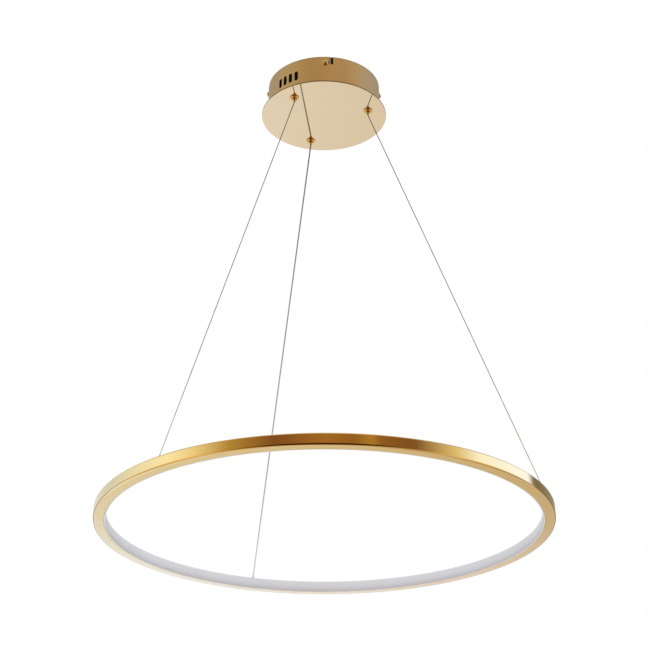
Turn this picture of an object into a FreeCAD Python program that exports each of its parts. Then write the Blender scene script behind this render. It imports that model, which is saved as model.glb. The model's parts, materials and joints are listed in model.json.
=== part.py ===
# LED ring chandelier. Millimetres, +Z up, origin at the ceiling in the middle of the canopy.
# An azimuth is measured from -Y (the front) towards +X.
import FreeCAD
import Part
import math
import os
from FreeCAD import Vector

# Whole lamp
drop = 691.0                     # ceiling to the ring's underside
shaft_clearance = 0.05           # radial, between a shaft and its hole
loose_clearance = 0.3            # between faces that pass each other
ceiling_gap = 0.2                # ceiling to the ends of what fills a hole in the bracket
cut_over = 3.0                   # how far a cut runs past the material
fine_edge = 0.3                  # bevels and rounds on small turned and moulded parts
medium_edge = 0.4
coarse_edge = 0.5

# Ring profile: a channel, open towards the middle
ring_outer_radius = 300.0
ring_width = 16.0
ring_height = 15.0
ring_wall = 1.6
ring_flange = 1.2
ring_edge_radius = 1.2
seam_azimuth = -148.0
seam_gap = 0.2

# Diffuser band: its face covers the ends of the channel's flanges, its legs clip between them
diffuser_thickness = 1.8
diffuser_edge = 0.5
diffuser_seam = 0.35             # between the face's back and the flanges' ends
diffuser_leg = 2.4
diffuser_leg_thickness = 1.0
diffuser_play = 0.15
bead_height = 0.35
bead_width = 0.9

# LED strip and joiner plates inside the channel
strip_width = 8.0
strip_thickness = 0.4
chip_count = 60
chip_length = 3.5
chip_width = 2.8
chip_height = 0.8
chip_solder = 0.1
joiner_width = 6.0
joiner_thickness = 1.5
joiner_half_angle = 3.5
grub_radius = 1.5
grub_length = 2.6
grub_angles = (-2.3, 2.3)

# Canopy
canopy_depth = 50.0              # ceiling to the plate's underside
plate_overhang = 9.5             # plate's rim beyond the drum
plate_thickness = 2.0
plate_edge_radius = 0.7
drum_outer_radius = 82.5
drum_sheet = 1.0
drum_bend = 1.2
drum_flange = 6.6
rim_gap = 0.5                    # ceiling to the drum's rim

# Vent slots
vent_azimuths = (-52.1, -45.1, -38.1, -31.1)
vent_width = 4.6
vent_height = 15.0
vent_depth = 26.7                # ceiling to the slot's middle

# Side screws with domed heads, and their bayonet slots
screw_azimuths = {"front": 0.0, "right": 90.0, "back": 180.0, "left": 270.0}
screw_depth = 11.0               # ceiling to the screw's axis
screw_head_radius = 4.0
screw_head_height = 2.6
screw_head_side = 0.8            # straight part of the head's side
screw_thread_radius = 2.0
screw_thread_length = 13.0
recess_span = 4.4                # cross recess in the head
recess_floor_span = 1.8
recess_wing = 1.0
recess_depth = 1.7
bayonet_mouth_offset = 8.5       # along the wall, from the screw to the slot's mouth
bayonet_mouth_width = 5.8
bayonet_outer_corner = 1.5
bayonet_inner_corner = 0.8

# Ceiling bracket: a round plate with four tabs bent down
bracket_steel = 1.5
bracket_gap = 1.5                # bracket's rim to the drum's inner face
tab_width = 16.0
tab_depth = 19.0
tab_corner_radius = 3.0
tab_gap = 0.6                    # tab to the drum's inner face
tab_root_depth = 6.5             # the reliefs beside a tab, in from the bracket's rim
tab_relief = 2.0                 # width of each relief
bend_radius = 2.5
bracket_slot_radius = 2.6
bracket_slot_length = 20.0
bracket_slot_spacing = 100.0
tab_nut_flats = 7.0
tab_nut_length = 3.2
grommet_bore_radius = 4.0
grommet_neck_radius = 6.0
grommet_lip_radius = 7.5
grommet_lip = 1.25
earth_screw_place = 22.0
earth_thread_radius = 2.0
earth_head_radius = 4.0
earth_head_height = 2.6
earth_head_edge = 1.0
earth_drive = 1.0                # width and depth of the driver slot

# Studs and nuts on the back of the plate
stud_radius = 1.5
stud_inset = 3.5                 # drum's inner face to a stud's middle
stud_azimuths = (33.0, 123.0, 213.0, 303.0)
stud_height = 5.0
nut_flats = 5.5
nut_height = 2.4

# Rope grippers; heights are from the plate's underside, up positive
gripper_azimuths = {"left": -41.5, "power": -164.0, "right": 73.5}
gripper_inset = 14.5             # drum's inner face to a gripper's middle
gripper_flange_radius = 6.6
gripper_flange_height = 1.5
gripper_cone_radius = 4.0
gripper_nose_radius = 2.5
gripper_nose = 5.0               # below the plate
gripper_thread_radius = 5.0
gripper_top = 14.0
chamber_narrow_radius = 2.2
chamber_wide_radius = 3.6
chamber_floor = -1.0
chamber_cone_top = 8.0
lock_washer_radius = 7.5
lock_washer_height = 1.0
lock_nut_flats = 13.0
lock_nut_height = 4.0
cap_head_radius = 4.6
cap_head_height = 1.5
cap_thread_length = 2.5
plunger_wall = 0.3               # round the thickest rope's bore
plunger_tip_step = 0.45          # tip's radius beyond the stem's
plunger_tip_height = 1.4
plunger_travel = 1.4
plunger_travel_spare = 0.2
plunger_shoulder_height = 0.8
cage_gap = 0.35
cage_top = 7.0
ball_radius = {"left": 1.05, "power": 0.9, "right": 1.05}
ball_play = 0.04
ball_turns = (0.0, 120.0, 240.0)
spring_wire_radius = 0.25
spring_radius = 2.2

# Ropes
rope_radius = {"left": 0.6, "power": 1.0, "right": 0.6}
rope_bore_play = 0.15
rope_gap = 0.3                   # between a free rope's end and the mouth it enters
rope_tail_length = 6.0           # above the gripper's cap
power_tail_rise = 4.0            # further up before the power rope bends over
power_tail_level = 12.0          # from the connector, where the power rope turns down

# Nipples on the ring
nipple_azimuths = {"left": -43.5, "power": -160.5, "right": 75.5}
nipple_height = 4.4
nipple_base_radius = 2.3
nipple_base_height = 0.9
nipple_top_radius = {"left": 1.3, "power": 1.75, "right": 1.3}
nipple_taper = 0.2
nipple_thread_radius = 2.0
nipple_thread_length = 4.2       # below the ring's top face
nipple_nut_flats = 6.0
nipple_nut_height = 2.2
rope_stop_radius = 1.7
rope_stop_edge = 0.6
strip_lead_radius = 0.6

# Driver, terminal block, connector and their leads, on the back of the plate
driver_middle_x = -6.0
driver_length = 90.0
driver_width = 40.0
driver_height = 22.0
driver_edge = 2.0
driver_bevel = 1.0
ear_length = 7.0
ear_width = 14.0
ear_thickness = 2.0
ear_edge = 1.0
block_corner = (20.0, 30.0)
block_length = 32.0
block_width = 17.0
block_height = 15.0
block_pole_pitch = 10.0
block_first_pole = 6.0
block_bore_radius = 1.6
block_screw_radius = 1.7
block_screw_inset = 4.0
block_screw_length = 4.0
block_screw_drop = 1.0           # screw's head below the block's top
block_stud_drop = 0.5            # stud's end below the block's top
block_sink = 3.0
block_edge = 1.5
connector_corner = (-52.0, 22.0)
connector_length = 20.0
connector_width = 12.0
connector_height = 9.0
connector_edge = 1.0
lead_radius = 2.2
lead_bend = 5.0
lead_height = 7.0                # above the plate's back
output_lead_reach = 11.0         # out from the driver before the lead turns
driver_lead_y = 10.0

# Rounding a corner stops just short of the half width, so that the outline stays whole
almost_one = 0.999

# Worked out from the sizes above
plate_bottom = -canopy_depth
plate_top = plate_bottom + plate_thickness
drum_inner_radius = drum_outer_radius - drum_sheet
plate_radius = drum_outer_radius + plate_overhang
bracket_radius = drum_inner_radius - bracket_gap
tab_root = bracket_radius - tab_root_depth
stud_circle_radius = drum_inner_radius - stud_inset
gripper_circle_radius = drum_inner_radius - gripper_inset
ring_bottom = -drop
ring_top = ring_bottom + ring_height
ring_inner_radius = ring_outer_radius - ring_width
ring_middle_radius = ring_outer_radius - ring_width / 2
wall_face_radius = ring_outer_radius - ring_wall
diffuser_back = ring_inner_radius + diffuser_thickness
screw_axis_z = -screw_depth
tab_face = drum_inner_radius - tab_gap
plunger_stem_radius = max(rope_radius.values()) + rope_bore_play + plunger_wall
plunger_tip_radius = plunger_stem_radius + plunger_tip_step
chamber_slope = (chamber_wide_radius - chamber_narrow_radius) / chamber_cone_top
gripper_mouth = plate_bottom - gripper_nose - plunger_travel - plunger_travel_spare - plunger_tip_height
nipple_mouth = ring_top + nipple_height


def polar(radius, azimuth, z=0.0):
    angle = math.radians(azimuth)
    return Vector(radius * math.sin(angle), -radius * math.cos(angle), z)


def turned(shape, azimuth):
    copy = shape.copy()
    copy.rotate(Vector(0, 0, 0), Vector(0, 0, 1), azimuth)
    return copy


def moved(shape, place):
    copy = shape.copy()
    copy.translate(place)
    return copy


def corner_arc(before, corner, after, radius):
    """Start, middle and end of the arc that rounds a corner."""
    back = (before - corner).normalize()
    ahead = (after - corner).normalize()
    half = back.getAngle(ahead) / 2
    bisector = (back + ahead).normalize()
    reach = radius / math.tan(half)
    centre = corner + bisector * (radius / math.sin(half))
    return corner + back * reach, centre - bisector * radius, corner + ahead * reach


def path_edges(corners, closed, bevelled=False):
    """Lines through corners, each a point with a corner radius. A corner is rounded, or else bevelled."""
    stops = []
    count = len(corners)
    for index in range(count):
        point, radius = corners[index]
        is_end = not closed and index in (0, count - 1)
        if radius == 0 or is_end:
            stops.append((point,))
            continue
        before = corners[index - 1][0]
        after = corners[(index + 1) % count][0]
        stops.append(corner_arc(before, point, after, radius))
    edges = []
    for index in range(count):
        stop = stops[index]
        if len(stop) == 3 and bevelled:
            edges.append(Part.LineSegment(stop[0], stop[2]).toShape())
        elif len(stop) == 3:
            edges.append(Part.Arc(*stop).toShape())
        if closed or index < count - 1:
            edges.append(Part.LineSegment(stop[-1], stops[(index + 1) % count][0]).toShape())
    return edges


def face_of(corners, place, bevelled=False):
    """A flat face from corners (u, v) or (u, v, radius), put in space by place(u, v)."""
    points = [(place(c[0], c[1]), c[2] if len(c) == 3 else 0) for c in corners]
    return Part.Face(Part.Wire(path_edges(points, True, bevelled)))


def revolved(corners, angle=360.0, bevelled=False):
    """A section of (radius, height) corners, turned about Z."""
    section = face_of(corners, lambda u, v: Vector(u, 0, v), bevelled)
    return section.revolve(Vector(0, 0, 0), Vector(0, 0, 1), angle)


def lathed(corners):
    """Turned hardware: a full revolve with its small corners bevelled."""
    return revolved(corners, 360.0, True)


def extruded(corners, bottom, height):
    """A plan of (x, y) corners, raised from bottom by height."""
    plan = face_of(corners, lambda u, v: Vector(u, v, bottom))
    return plan.extrude(Vector(0, 0, height))


def cylinder(radius, height, place):
    return Part.makeCylinder(radius, height, place)


def obround(length, width):
    """Corners of a slot along u about the middle; a hair of straight line is left at each end."""
    half_length = length / 2
    half_width = width / 2
    round_corner = half_width * almost_one
    return [(-half_length, -half_width, round_corner), (half_length, -half_width, round_corner),
            (half_length, half_width, round_corner), (-half_length, half_width, round_corner)]


def wall_cutter(corners):
    """A flat cutter through the drum's wall at the front; u runs along the wall, v is height."""
    start = -(drum_inner_radius - cut_over)
    face = face_of(corners, lambda u, v: Vector(u, start, v))
    return face.extrude(Vector(0, -(drum_sheet + 2 * cut_over), 0))


def hexagon(flats, height, place):
    corners = [polar(flats / math.sqrt(3), 60 * index) for index in range(6)]
    return moved(extruded([(corner.x, corner.y) for corner in corners], 0, height), place)


def nut(flats, height, bore_radius, place):
    return hexagon(flats, height, place).cut(cylinder(bore_radius, height, place))


def tube_along(points, radius, bend):
    """A round lead along straight runs with tangent bends."""
    path = Part.Wire(path_edges([(point, bend) for point in points], False))
    ring = Part.Wire(Part.Circle(points[0], points[1] - points[0], radius).toShape())
    return path.makePipeShell([ring], True, False)


# Ceiling bracket

def bracket_tab():
    """One tab with its bend, at +X; it starts inside the plate."""
    outer_bend = bend_radius + bracket_steel
    start = tab_root - tab_relief
    side = [(start, 0), (tab_face, 0, outer_bend), (tab_face, -tab_depth),
            (tab_face - bracket_steel, -tab_depth), (tab_face - bracket_steel, -bracket_steel, bend_radius),
            (start, -bracket_steel)]
    strip = face_of(side, lambda u, v: Vector(u, -tab_width / 2, v)).extrude(Vector(0, tab_width, 0))
    outline = [(-tab_width / 2, 0), (tab_width / 2, 0), (tab_width / 2, -tab_depth, tab_corner_radius),
               (-tab_width / 2, -tab_depth, tab_corner_radius)]
    front = face_of(outline, lambda u, v: Vector(start, u, v)).extrude(Vector(tab_face - start, 0, 0))
    return strip.common(front)


def ceiling_bracket():
    """Round plate with reliefs, tabs, mounting slots and holes."""
    bracket = cylinder(bracket_radius, bracket_steel, Vector(0, 0, -bracket_steel))
    window_width = tab_width + 2 * tab_relief
    window = Part.makeBox(bracket_radius, window_width, bracket_steel,
                          Vector(tab_root, -window_width / 2, -bracket_steel))
    bracket = bracket.cut([turned(window, quarter * 90) for quarter in range(4)])
    bracket = bracket.fuse([turned(bracket_tab(), quarter * 90) for quarter in range(4)]).removeSplitter()
    slot = extruded(obround(bracket_slot_length, 2 * bracket_slot_radius), -bracket_steel, bracket_steel)
    slot = moved(slot, Vector(bracket_slot_spacing / 2, 0, 0))
    hole_start = Vector(tab_face - bracket_steel - tab_relief, 0, screw_axis_z)
    screw_hole = Part.makeCylinder(screw_thread_radius + loose_clearance, tab_relief + bracket_steel,
                                   hole_start, Vector(1, 0, 0))
    cutters = [turned(cutter, quarter * 90) for quarter in range(4) for cutter in (slot, screw_hole)]
    cutters.append(cylinder(grommet_neck_radius, bracket_steel, Vector(0, 0, -bracket_steel)))
    cutters.append(cylinder(earth_thread_radius + shaft_clearance, bracket_steel,
                            Vector(earth_screw_place, 0, -bracket_steel)))
    return bracket.cut(cutters)


def tab_nuts():
    """Nuts pressed on the inside of the tabs for the side screws."""
    start = Vector(0, 0, tab_face - bracket_steel - tab_nut_length)
    body = nut(tab_nut_flats, tab_nut_length, screw_thread_radius + shaft_clearance, start)
    return Part.makeCompound([radial(body, azimuth, screw_axis_z) for azimuth in screw_azimuths.values()])


def radial(shape, azimuth, z):
    """A shape made along Z from the middle, laid along the radius at an azimuth and a height."""
    copy = shape.copy()
    copy.rotate(Vector(0, 0, 0), Vector(1, 0, 0), 90)
    copy.translate(Vector(0, 0, z))
    return turned(copy, azimuth)


def supply_grommet():
    bottom = -bracket_steel - grommet_lip
    section = [(grommet_bore_radius, bottom), (grommet_lip_radius, bottom, coarse_edge),
               (grommet_lip_radius, -bracket_steel), (grommet_neck_radius, -bracket_steel),
               (grommet_neck_radius, -ceiling_gap), (grommet_bore_radius, -ceiling_gap)]
    return lathed(section)


def earth_screw():
    head_bottom = -bracket_steel - earth_head_height
    section = [(0, head_bottom), (earth_head_radius, head_bottom, earth_head_edge),
               (earth_head_radius, -bracket_steel), (earth_thread_radius, -bracket_steel),
               (earth_thread_radius, -ceiling_gap), (0, -ceiling_gap)]
    screw = moved(lathed(section), Vector(earth_screw_place, 0, 0))
    drive = Part.makeBox(2 * earth_head_radius, earth_drive, earth_drive,
                         Vector(earth_screw_place - earth_head_radius, -earth_drive / 2, head_bottom))
    return screw.cut(drive)


def cross_recess(top):
    """Two crossed wings that narrow towards the recess's floor."""
    wing = [(-recess_span / 2, top), (recess_span / 2, top), (recess_floor_span / 2, top - recess_depth),
            (-recess_floor_span / 2, top - recess_depth)]
    face = face_of(wing, lambda u, v: Vector(u, -recess_wing / 2, v))
    first = face.extrude(Vector(0, recess_wing, 0))
    return first.fuse(turned(first, 90))


def side_screw(azimuth):
    """Domed head with a cross recess, and a threaded shank; heights run outwards from the lamp's middle."""
    seat = drum_outer_radius + loose_clearance
    top = seat + screw_head_height
    dome_height = screw_head_height - screw_head_side
    dome_radius = (screw_head_radius ** 2 + dome_height ** 2) / (2 * dome_height)
    half_angle = math.asin(screw_head_radius / dome_radius) / 2
    dome_drop = dome_radius * (1 - math.cos(half_angle))
    dome_middle = Vector(dome_radius * math.sin(half_angle), 0, top - dome_drop)
    start = seat - screw_thread_length
    corners = [Vector(0, 0, top), Vector(0, 0, start), Vector(screw_thread_radius - coarse_edge, 0, start),
               Vector(screw_thread_radius, 0, start + coarse_edge), Vector(screw_thread_radius, 0, seat),
               Vector(screw_head_radius, 0, seat), Vector(screw_head_radius, 0, seat + screw_head_side)]
    edges = [Part.LineSegment(a, b).toShape() for a, b in zip(corners, corners[1:])]
    edges.append(Part.Arc(corners[-1], dome_middle, corners[0]).toShape())
    screw = Part.Face(Part.Wire(edges)).revolve(Vector(0, 0, 0), Vector(0, 0, 1), 360)
    return radial(screw.cut(cross_recess(top)), azimuth, screw_axis_z)


# Canopy

def bayonet_slot():
    """Mouth at the rim, and a foot that runs back to the side screw."""
    half_foot = screw_thread_radius + loose_clearance
    mouth_start = bayonet_mouth_offset - bayonet_mouth_width / 2
    mouth_end = bayonet_mouth_offset + bayonet_mouth_width / 2
    low = screw_axis_z - half_foot
    high = screw_axis_z + half_foot
    foot_end = half_foot * almost_one
    return wall_cutter([(-half_foot, low, foot_end), (mouth_end, low, bayonet_outer_corner),
                        (mouth_end, cut_over), (mouth_start, cut_over),
                        (mouth_start, high, bayonet_inner_corner), (-half_foot, high, foot_end)])


def canopy_wall():
    top = -rim_gap
    flange_radius = drum_inner_radius - drum_flange
    section = [(drum_outer_radius, top), (drum_outer_radius, plate_top, drum_bend),
               (flange_radius, plate_top), (flange_radius, plate_top + drum_sheet),
               (drum_inner_radius, plate_top + drum_sheet, drum_bend - drum_sheet),
               (drum_inner_radius, top)]
    wall = revolved(section)
    vent = wall_cutter([(v, u - vent_depth, r) for u, v, r in obround(vent_height, vent_width)])
    cutters = [turned(vent, azimuth) for azimuth in vent_azimuths]
    cutters += [turned(bayonet_slot(), azimuth) for azimuth in screw_azimuths.values()]
    hole_radius = stud_radius + shaft_clearance
    cutters += [cylinder(hole_radius, drum_sheet, polar(stud_circle_radius, azimuth, plate_top))
                for azimuth in stud_azimuths]
    return wall.cut(cutters)


def canopy_plate():
    section = [(0, plate_bottom), (plate_radius, plate_bottom, plate_edge_radius),
               (plate_radius, plate_top, plate_edge_radius), (0, plate_top)]
    hole_radius = gripper_thread_radius + shaft_clearance
    holes = [cylinder(hole_radius, plate_thickness, polar(gripper_circle_radius, azimuth, plate_bottom))
             for azimuth in gripper_azimuths.values()]
    return revolved(section).cut(holes)


def ear_places():
    reach = driver_length / 2 + ear_length / 2
    return [Vector(driver_middle_x + side * reach, 0, plate_top) for side in (-1, 1)]


def block_stud_place():
    x = block_corner[0] + block_first_pole + block_pole_pitch / 2
    y = block_corner[1] + block_width / 2
    return Vector(x, y, plate_top)


def plate_studs():
    wall_places = [polar(stud_circle_radius, azimuth, plate_top) for azimuth in stud_azimuths]
    studs = [cylinder(stud_radius, stud_height, place) for place in wall_places]
    studs += [cylinder(stud_radius, stud_height + ear_thickness, place) for place in ear_places()]
    studs.append(cylinder(stud_radius, block_height - block_stud_drop, block_stud_place()))
    return Part.makeCompound(studs)


def plate_nuts():
    places = [polar(stud_circle_radius, azimuth, plate_top + drum_sheet) for azimuth in stud_azimuths]
    places += [place + Vector(0, 0, ear_thickness) for place in ear_places()]
    places.append(block_stud_place() + Vector(0, 0, block_height - block_sink))
    bore = stud_radius + shaft_clearance
    return Part.makeCompound([nut(nut_flats, nut_height, bore, place) for place in places])


# Rope grippers

def gripper_place(side):
    return polar(gripper_circle_radius, gripper_azimuths[side], plate_bottom)


def chamber_radius(height):
    return chamber_narrow_radius + chamber_slope * max(0.0, min(height, chamber_cone_top))


def gripper_body(side):
    """Flange and nose below the plate, threaded barrel above, tapered ball chamber inside."""
    nose_bore = plunger_stem_radius + shaft_clearance
    cap_bore = chamber_wide_radius
    section = [(nose_bore, -gripper_nose), (gripper_nose_radius, -gripper_nose, fine_edge),
               (gripper_cone_radius, -gripper_flange_height, coarse_edge),
               (gripper_flange_radius, -gripper_flange_height, coarse_edge), (gripper_flange_radius, 0),
               (gripper_thread_radius, 0), (gripper_thread_radius, gripper_top, coarse_edge),
               (cap_bore, gripper_top), (cap_bore, chamber_cone_top), (chamber_narrow_radius, 0),
               (chamber_narrow_radius, chamber_floor), (nose_bore, chamber_floor)]
    return moved(lathed(section), gripper_place(side))


def lock_washers():
    bore = gripper_thread_radius + shaft_clearance
    washers = []
    for side in gripper_azimuths:
        place = gripper_place(side) + Vector(0, 0, plate_thickness)
        washer = cylinder(lock_washer_radius, lock_washer_height, place)
        washers.append(washer.cut(cylinder(bore, lock_washer_height, place)))
    return Part.makeCompound(washers)


def lock_nuts():
    lift = Vector(0, 0, plate_thickness + lock_washer_height)
    bore = gripper_thread_radius + shaft_clearance
    return Part.makeCompound([nut(lock_nut_flats, lock_nut_height, bore, gripper_place(side) + lift)
                              for side in gripper_azimuths])


def gripper_caps():
    caps = []
    for side in gripper_azimuths:
        bore = rope_radius[side] + rope_bore_play
        thread = chamber_wide_radius - shaft_clearance
        top = gripper_top + cap_head_height
        section = [(bore, gripper_top - cap_thread_length), (thread, gripper_top - cap_thread_length),
                   (thread, gripper_top), (cap_head_radius, gripper_top),
                   (cap_head_radius, top, coarse_edge), (bore, top)]
        caps.append(moved(lathed(section), gripper_place(side)))
    return Part.makeCompound(caps)


def release_plunger(side):
    """Hollow stem with a ball-shaped tip below and a shoulder on the chamber's floor."""
    bore = rope_radius[side] + rope_bore_play
    tip_bottom = gripper_mouth - plate_bottom
    tip_top = tip_bottom + plunger_tip_height
    stem = plunger_stem_radius
    shoulder = chamber_narrow_radius - cage_gap
    shoulder_top = chamber_floor + plunger_shoulder_height
    section = [(bore, tip_bottom), (plunger_tip_radius, tip_bottom, coarse_edge),
               (plunger_tip_radius, tip_top, medium_edge),
               (stem, tip_top), (stem, chamber_floor), (shoulder, chamber_floor),
               (shoulder, shoulder_top), (bore, shoulder_top)]
    return moved(lathed(section), gripper_place(side))


def ball_middle(side):
    """Radius and height at which the balls touch both the rope and the chamber's taper."""
    radius = rope_radius[side] + ball_radius[side] + ball_play
    slant = math.cos(math.atan(chamber_slope))
    reach = radius + (ball_radius[side] + ball_play) / slant
    return radius, (reach - chamber_narrow_radius) / chamber_slope


def ball_cage(side):
    """Tapered sleeve between rope and chamber, with a window for each ball."""
    bottom = chamber_floor + plunger_shoulder_height
    bore = rope_radius[side] + rope_bore_play
    narrow = chamber_narrow_radius - cage_gap
    wide = chamber_radius(cage_top) - cage_gap
    section = [(bore, bottom), (narrow, bottom), (narrow, 0), (wide, cage_top), (bore, cage_top)]
    cage = lathed(section)
    height = ball_middle(side)[1]
    window = Part.makeCylinder(ball_radius[side] + ball_play, chamber_wide_radius,
                               Vector(0, 0, height), Vector(0, -1, 0))
    return moved(cage.cut([turned(window, turn) for turn in ball_turns]), gripper_place(side))


def cage_balls(side):
    radius, height = ball_middle(side)
    balls = [Part.makeSphere(ball_radius[side], polar(radius, turn, height)) for turn in ball_turns]
    return Part.makeCompound([moved(ball, gripper_place(side)) for ball in balls])


def cage_spring(side):
    """Room that the coil takes between the cage and the cap, as one sleeve."""
    bottom = cage_top
    top = gripper_top - cap_thread_length
    inner = spring_radius - spring_wire_radius
    outer = spring_radius + spring_wire_radius
    sleeve = lathed([(inner, bottom), (outer, bottom), (outer, top), (inner, top)])
    return moved(sleeve, gripper_place(side))


# Ropes

def free_rope(side):
    """Straight and taut, from the gripper's mouth to the nipple's mouth."""
    start = polar(gripper_circle_radius, gripper_azimuths[side], gripper_mouth - rope_gap)
    end = polar(ring_middle_radius, nipple_azimuths[side], nipple_mouth + rope_gap)
    return Part.makeCylinder(rope_radius[side], (end - start).Length, start, end - start)


def rope_tail(side):
    """The same rope inside the gripper, ending a little above its cap."""
    bottom = gripper_mouth + rope_gap
    top = plate_bottom + gripper_top + cap_head_height + rope_tail_length
    place = polar(gripper_circle_radius, gripper_azimuths[side], bottom)
    return cylinder(rope_radius[side], top - bottom, place)


def power_tail():
    """The power rope inside the canopy, from its gripper to the output connector."""
    place = gripper_place("power")
    bottom = Vector(place.x, place.y, gripper_mouth + rope_gap)
    crest = plate_bottom + gripper_top + cap_head_height + rope_tail_length + power_tail_rise
    connector_z = plate_top + connector_height / 2
    connector_y = connector_corner[1] + connector_width / 2
    connector_end = connector_corner[0] + connector_length
    points = [bottom, Vector(place.x, place.y, crest),
              Vector(place.x, connector_y + power_tail_level, crest),
              Vector(place.x, connector_y, connector_z), Vector(connector_end, connector_y, connector_z)]
    return tube_along(points, rope_radius["power"], lead_bend)


def nipple(side):
    """Small turned nipple through the ring's top flange; the rope goes in at its rounded mouth."""
    bore = rope_radius[side] + rope_bore_play
    top_radius = nipple_top_radius[side]
    thread_end = ring_top - nipple_thread_length
    section = [(bore, thread_end), (nipple_thread_radius, thread_end),
               (nipple_thread_radius, ring_top), (nipple_base_radius, ring_top),
               (nipple_base_radius, ring_top + nipple_base_height, fine_edge),
               (top_radius + nipple_taper, ring_top + nipple_base_height, fine_edge),
               (top_radius, nipple_mouth, fine_edge), (bore, nipple_mouth)]
    return moved(lathed(section), polar(ring_middle_radius, nipple_azimuths[side]))


def nipple_nuts():
    height = ring_top - ring_flange - nipple_nut_height
    bore = nipple_thread_radius + shaft_clearance
    places = [polar(ring_middle_radius, azimuth, height) for azimuth in nipple_azimuths.values()]
    return Part.makeCompound([nut(nipple_nut_flats, nipple_nut_height, bore, place) for place in places])


def rope_end(side):
    """The rope's end in the nipple, with the stop that is pressed on below it."""
    stop_top = ring_top - nipple_thread_length
    rope = rope_radius[side]
    stop_bottom = stop_top - 2 * rope_stop_radius
    section = [(0, stop_bottom), (rope_stop_radius, stop_bottom, rope_stop_edge),
               (rope_stop_radius, stop_top, fine_edge), (rope, stop_top), (rope, nipple_mouth - rope_gap),
               (0, nipple_mouth - rope_gap)]
    return moved(lathed(section), polar(ring_middle_radius, nipple_azimuths[side]))


# Ring

def ring_profile():
    """Channel that opens inwards, with a groove in each flange for the diffuser's beads."""
    flange_end = diffuser_back + diffuser_seam
    groove_start = bead_start() - diffuser_play
    groove_end = groove_start + bead_width + 2 * diffuser_play
    groove_depth = bead_height
    low = ring_bottom + ring_flange
    high = ring_top - ring_flange
    section = [(flange_end, ring_bottom), (ring_outer_radius, ring_bottom, ring_edge_radius),
               (ring_outer_radius, ring_top, ring_edge_radius), (flange_end, ring_top),
               (flange_end, high), (groove_start, high), (groove_start, high + groove_depth),
               (groove_end, high + groove_depth), (groove_end, high), (wall_face_radius, high),
               (wall_face_radius, low), (groove_end, low), (groove_end, low - groove_depth),
               (groove_start, low - groove_depth), (groove_start, low), (flange_end, low)]
    seam_angle = math.degrees(seam_gap / ring_outer_radius)
    ring = turned(revolved(section, 360.0 - seam_angle), seam_azimuth - 90.0 + seam_angle / 2)
    holes = [cylinder(nipple_thread_radius + shaft_clearance, ring_flange,
                      polar(ring_middle_radius, azimuth, ring_top - ring_flange))
             for azimuth in nipple_azimuths.values()]
    return ring.cut(holes)


def bead_start():
    return diffuser_back + diffuser_leg - bead_width


def diffuser():
    """Opal band over the channel's whole mouth, with a leg along each flange and a bead on each leg."""
    face = ring_inner_radius
    back = diffuser_back
    leg_end = back + diffuser_leg
    low = ring_bottom + ring_flange + diffuser_play
    high = ring_top - ring_flange - diffuser_play
    leg = diffuser_leg_thickness
    bead = bead_height
    leg_start = bead_start()
    section = [(face, ring_bottom, diffuser_edge), (back, ring_bottom), (back, low), (leg_start, low),
               (leg_start, low - bead), (leg_end, low - bead), (leg_end, low + leg), (back, low + leg),
               (back, high - leg), (leg_end, high - leg), (leg_end, high + bead), (leg_start, high + bead),
               (leg_start, high), (back, high), (back, ring_top), (face, ring_top, diffuser_edge)]
    return revolved(section)


def led_strip():
    low = ring_bottom + (ring_height - strip_width) / 2
    high = low + strip_width
    face = wall_face_radius - strip_thickness
    return revolved([(face, low), (wall_face_radius, low), (wall_face_radius, high), (face, high)])


def led_chips():
    back = math.sqrt((wall_face_radius - strip_thickness - chip_solder) ** 2 - (chip_length / 2) ** 2)
    low = ring_bottom + (ring_height - chip_width) / 2
    chip = Part.makeBox(chip_length, chip_height, chip_width, Vector(-chip_length / 2, -back, low))
    return Part.makeCompound([turned(chip, index * 360.0 / chip_count) for index in range(chip_count)])


def joiner_middle_radius():
    return (bead_start() + bead_width + wall_face_radius) / 2


def joiner_floors():
    """Height of the lower and the upper joiner plate's underside."""
    return ring_bottom + ring_flange, ring_top - ring_flange - joiner_thickness


def grub_places(floor):
    for angle in grub_angles:
        yield polar(joiner_middle_radius(), seam_azimuth + angle, floor)


def ring_joiners():
    """Two plates that bridge the profile's seam, one along each flange."""
    inner = joiner_middle_radius() - joiner_width / 2
    outer = joiner_middle_radius() + joiner_width / 2
    bore = grub_radius + shaft_clearance
    plates = []
    for floor in joiner_floors():
        top = floor + joiner_thickness
        section = [(inner, floor), (outer, floor), (outer, top), (inner, top)]
        plate = turned(revolved(section, 2 * joiner_half_angle), seam_azimuth - 90.0 - joiner_half_angle)
        plates.append(plate.cut([cylinder(bore, joiner_thickness, place) for place in grub_places(floor)]))
    return Part.makeCompound(plates)


def joiner_screws():
    low, high = joiner_floors()
    screws = [cylinder(grub_radius, grub_length, place) for place in grub_places(low)]
    upper_start = high + joiner_thickness - grub_length
    screws += [cylinder(grub_radius, grub_length, place) for place in grub_places(upper_start)]
    return Part.makeCompound(screws)


def strip_lead():
    """Short lead from the power rope's stop to the LED strip."""
    azimuth = nipple_azimuths["power"]
    height = ring_top - nipple_thread_length - rope_stop_radius
    start = polar(ring_middle_radius + rope_stop_radius, azimuth, height)
    end = polar(wall_face_radius - strip_thickness - shaft_clearance, azimuth, height)
    return Part.makeCylinder(strip_lead_radius, (end - start).Length, start, end - start)


# Driver, terminal block and connector

def rounded_box(corner, size, edge):
    """A moulded block on the plate's back, with its upright corners rounded."""
    x, y = corner
    length, width, height = size
    plan = [(x, y, edge), (x + length, y, edge), (x + length, y + width, edge), (x, y + width, edge)]
    return extruded(plan, plate_top, height)


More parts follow.
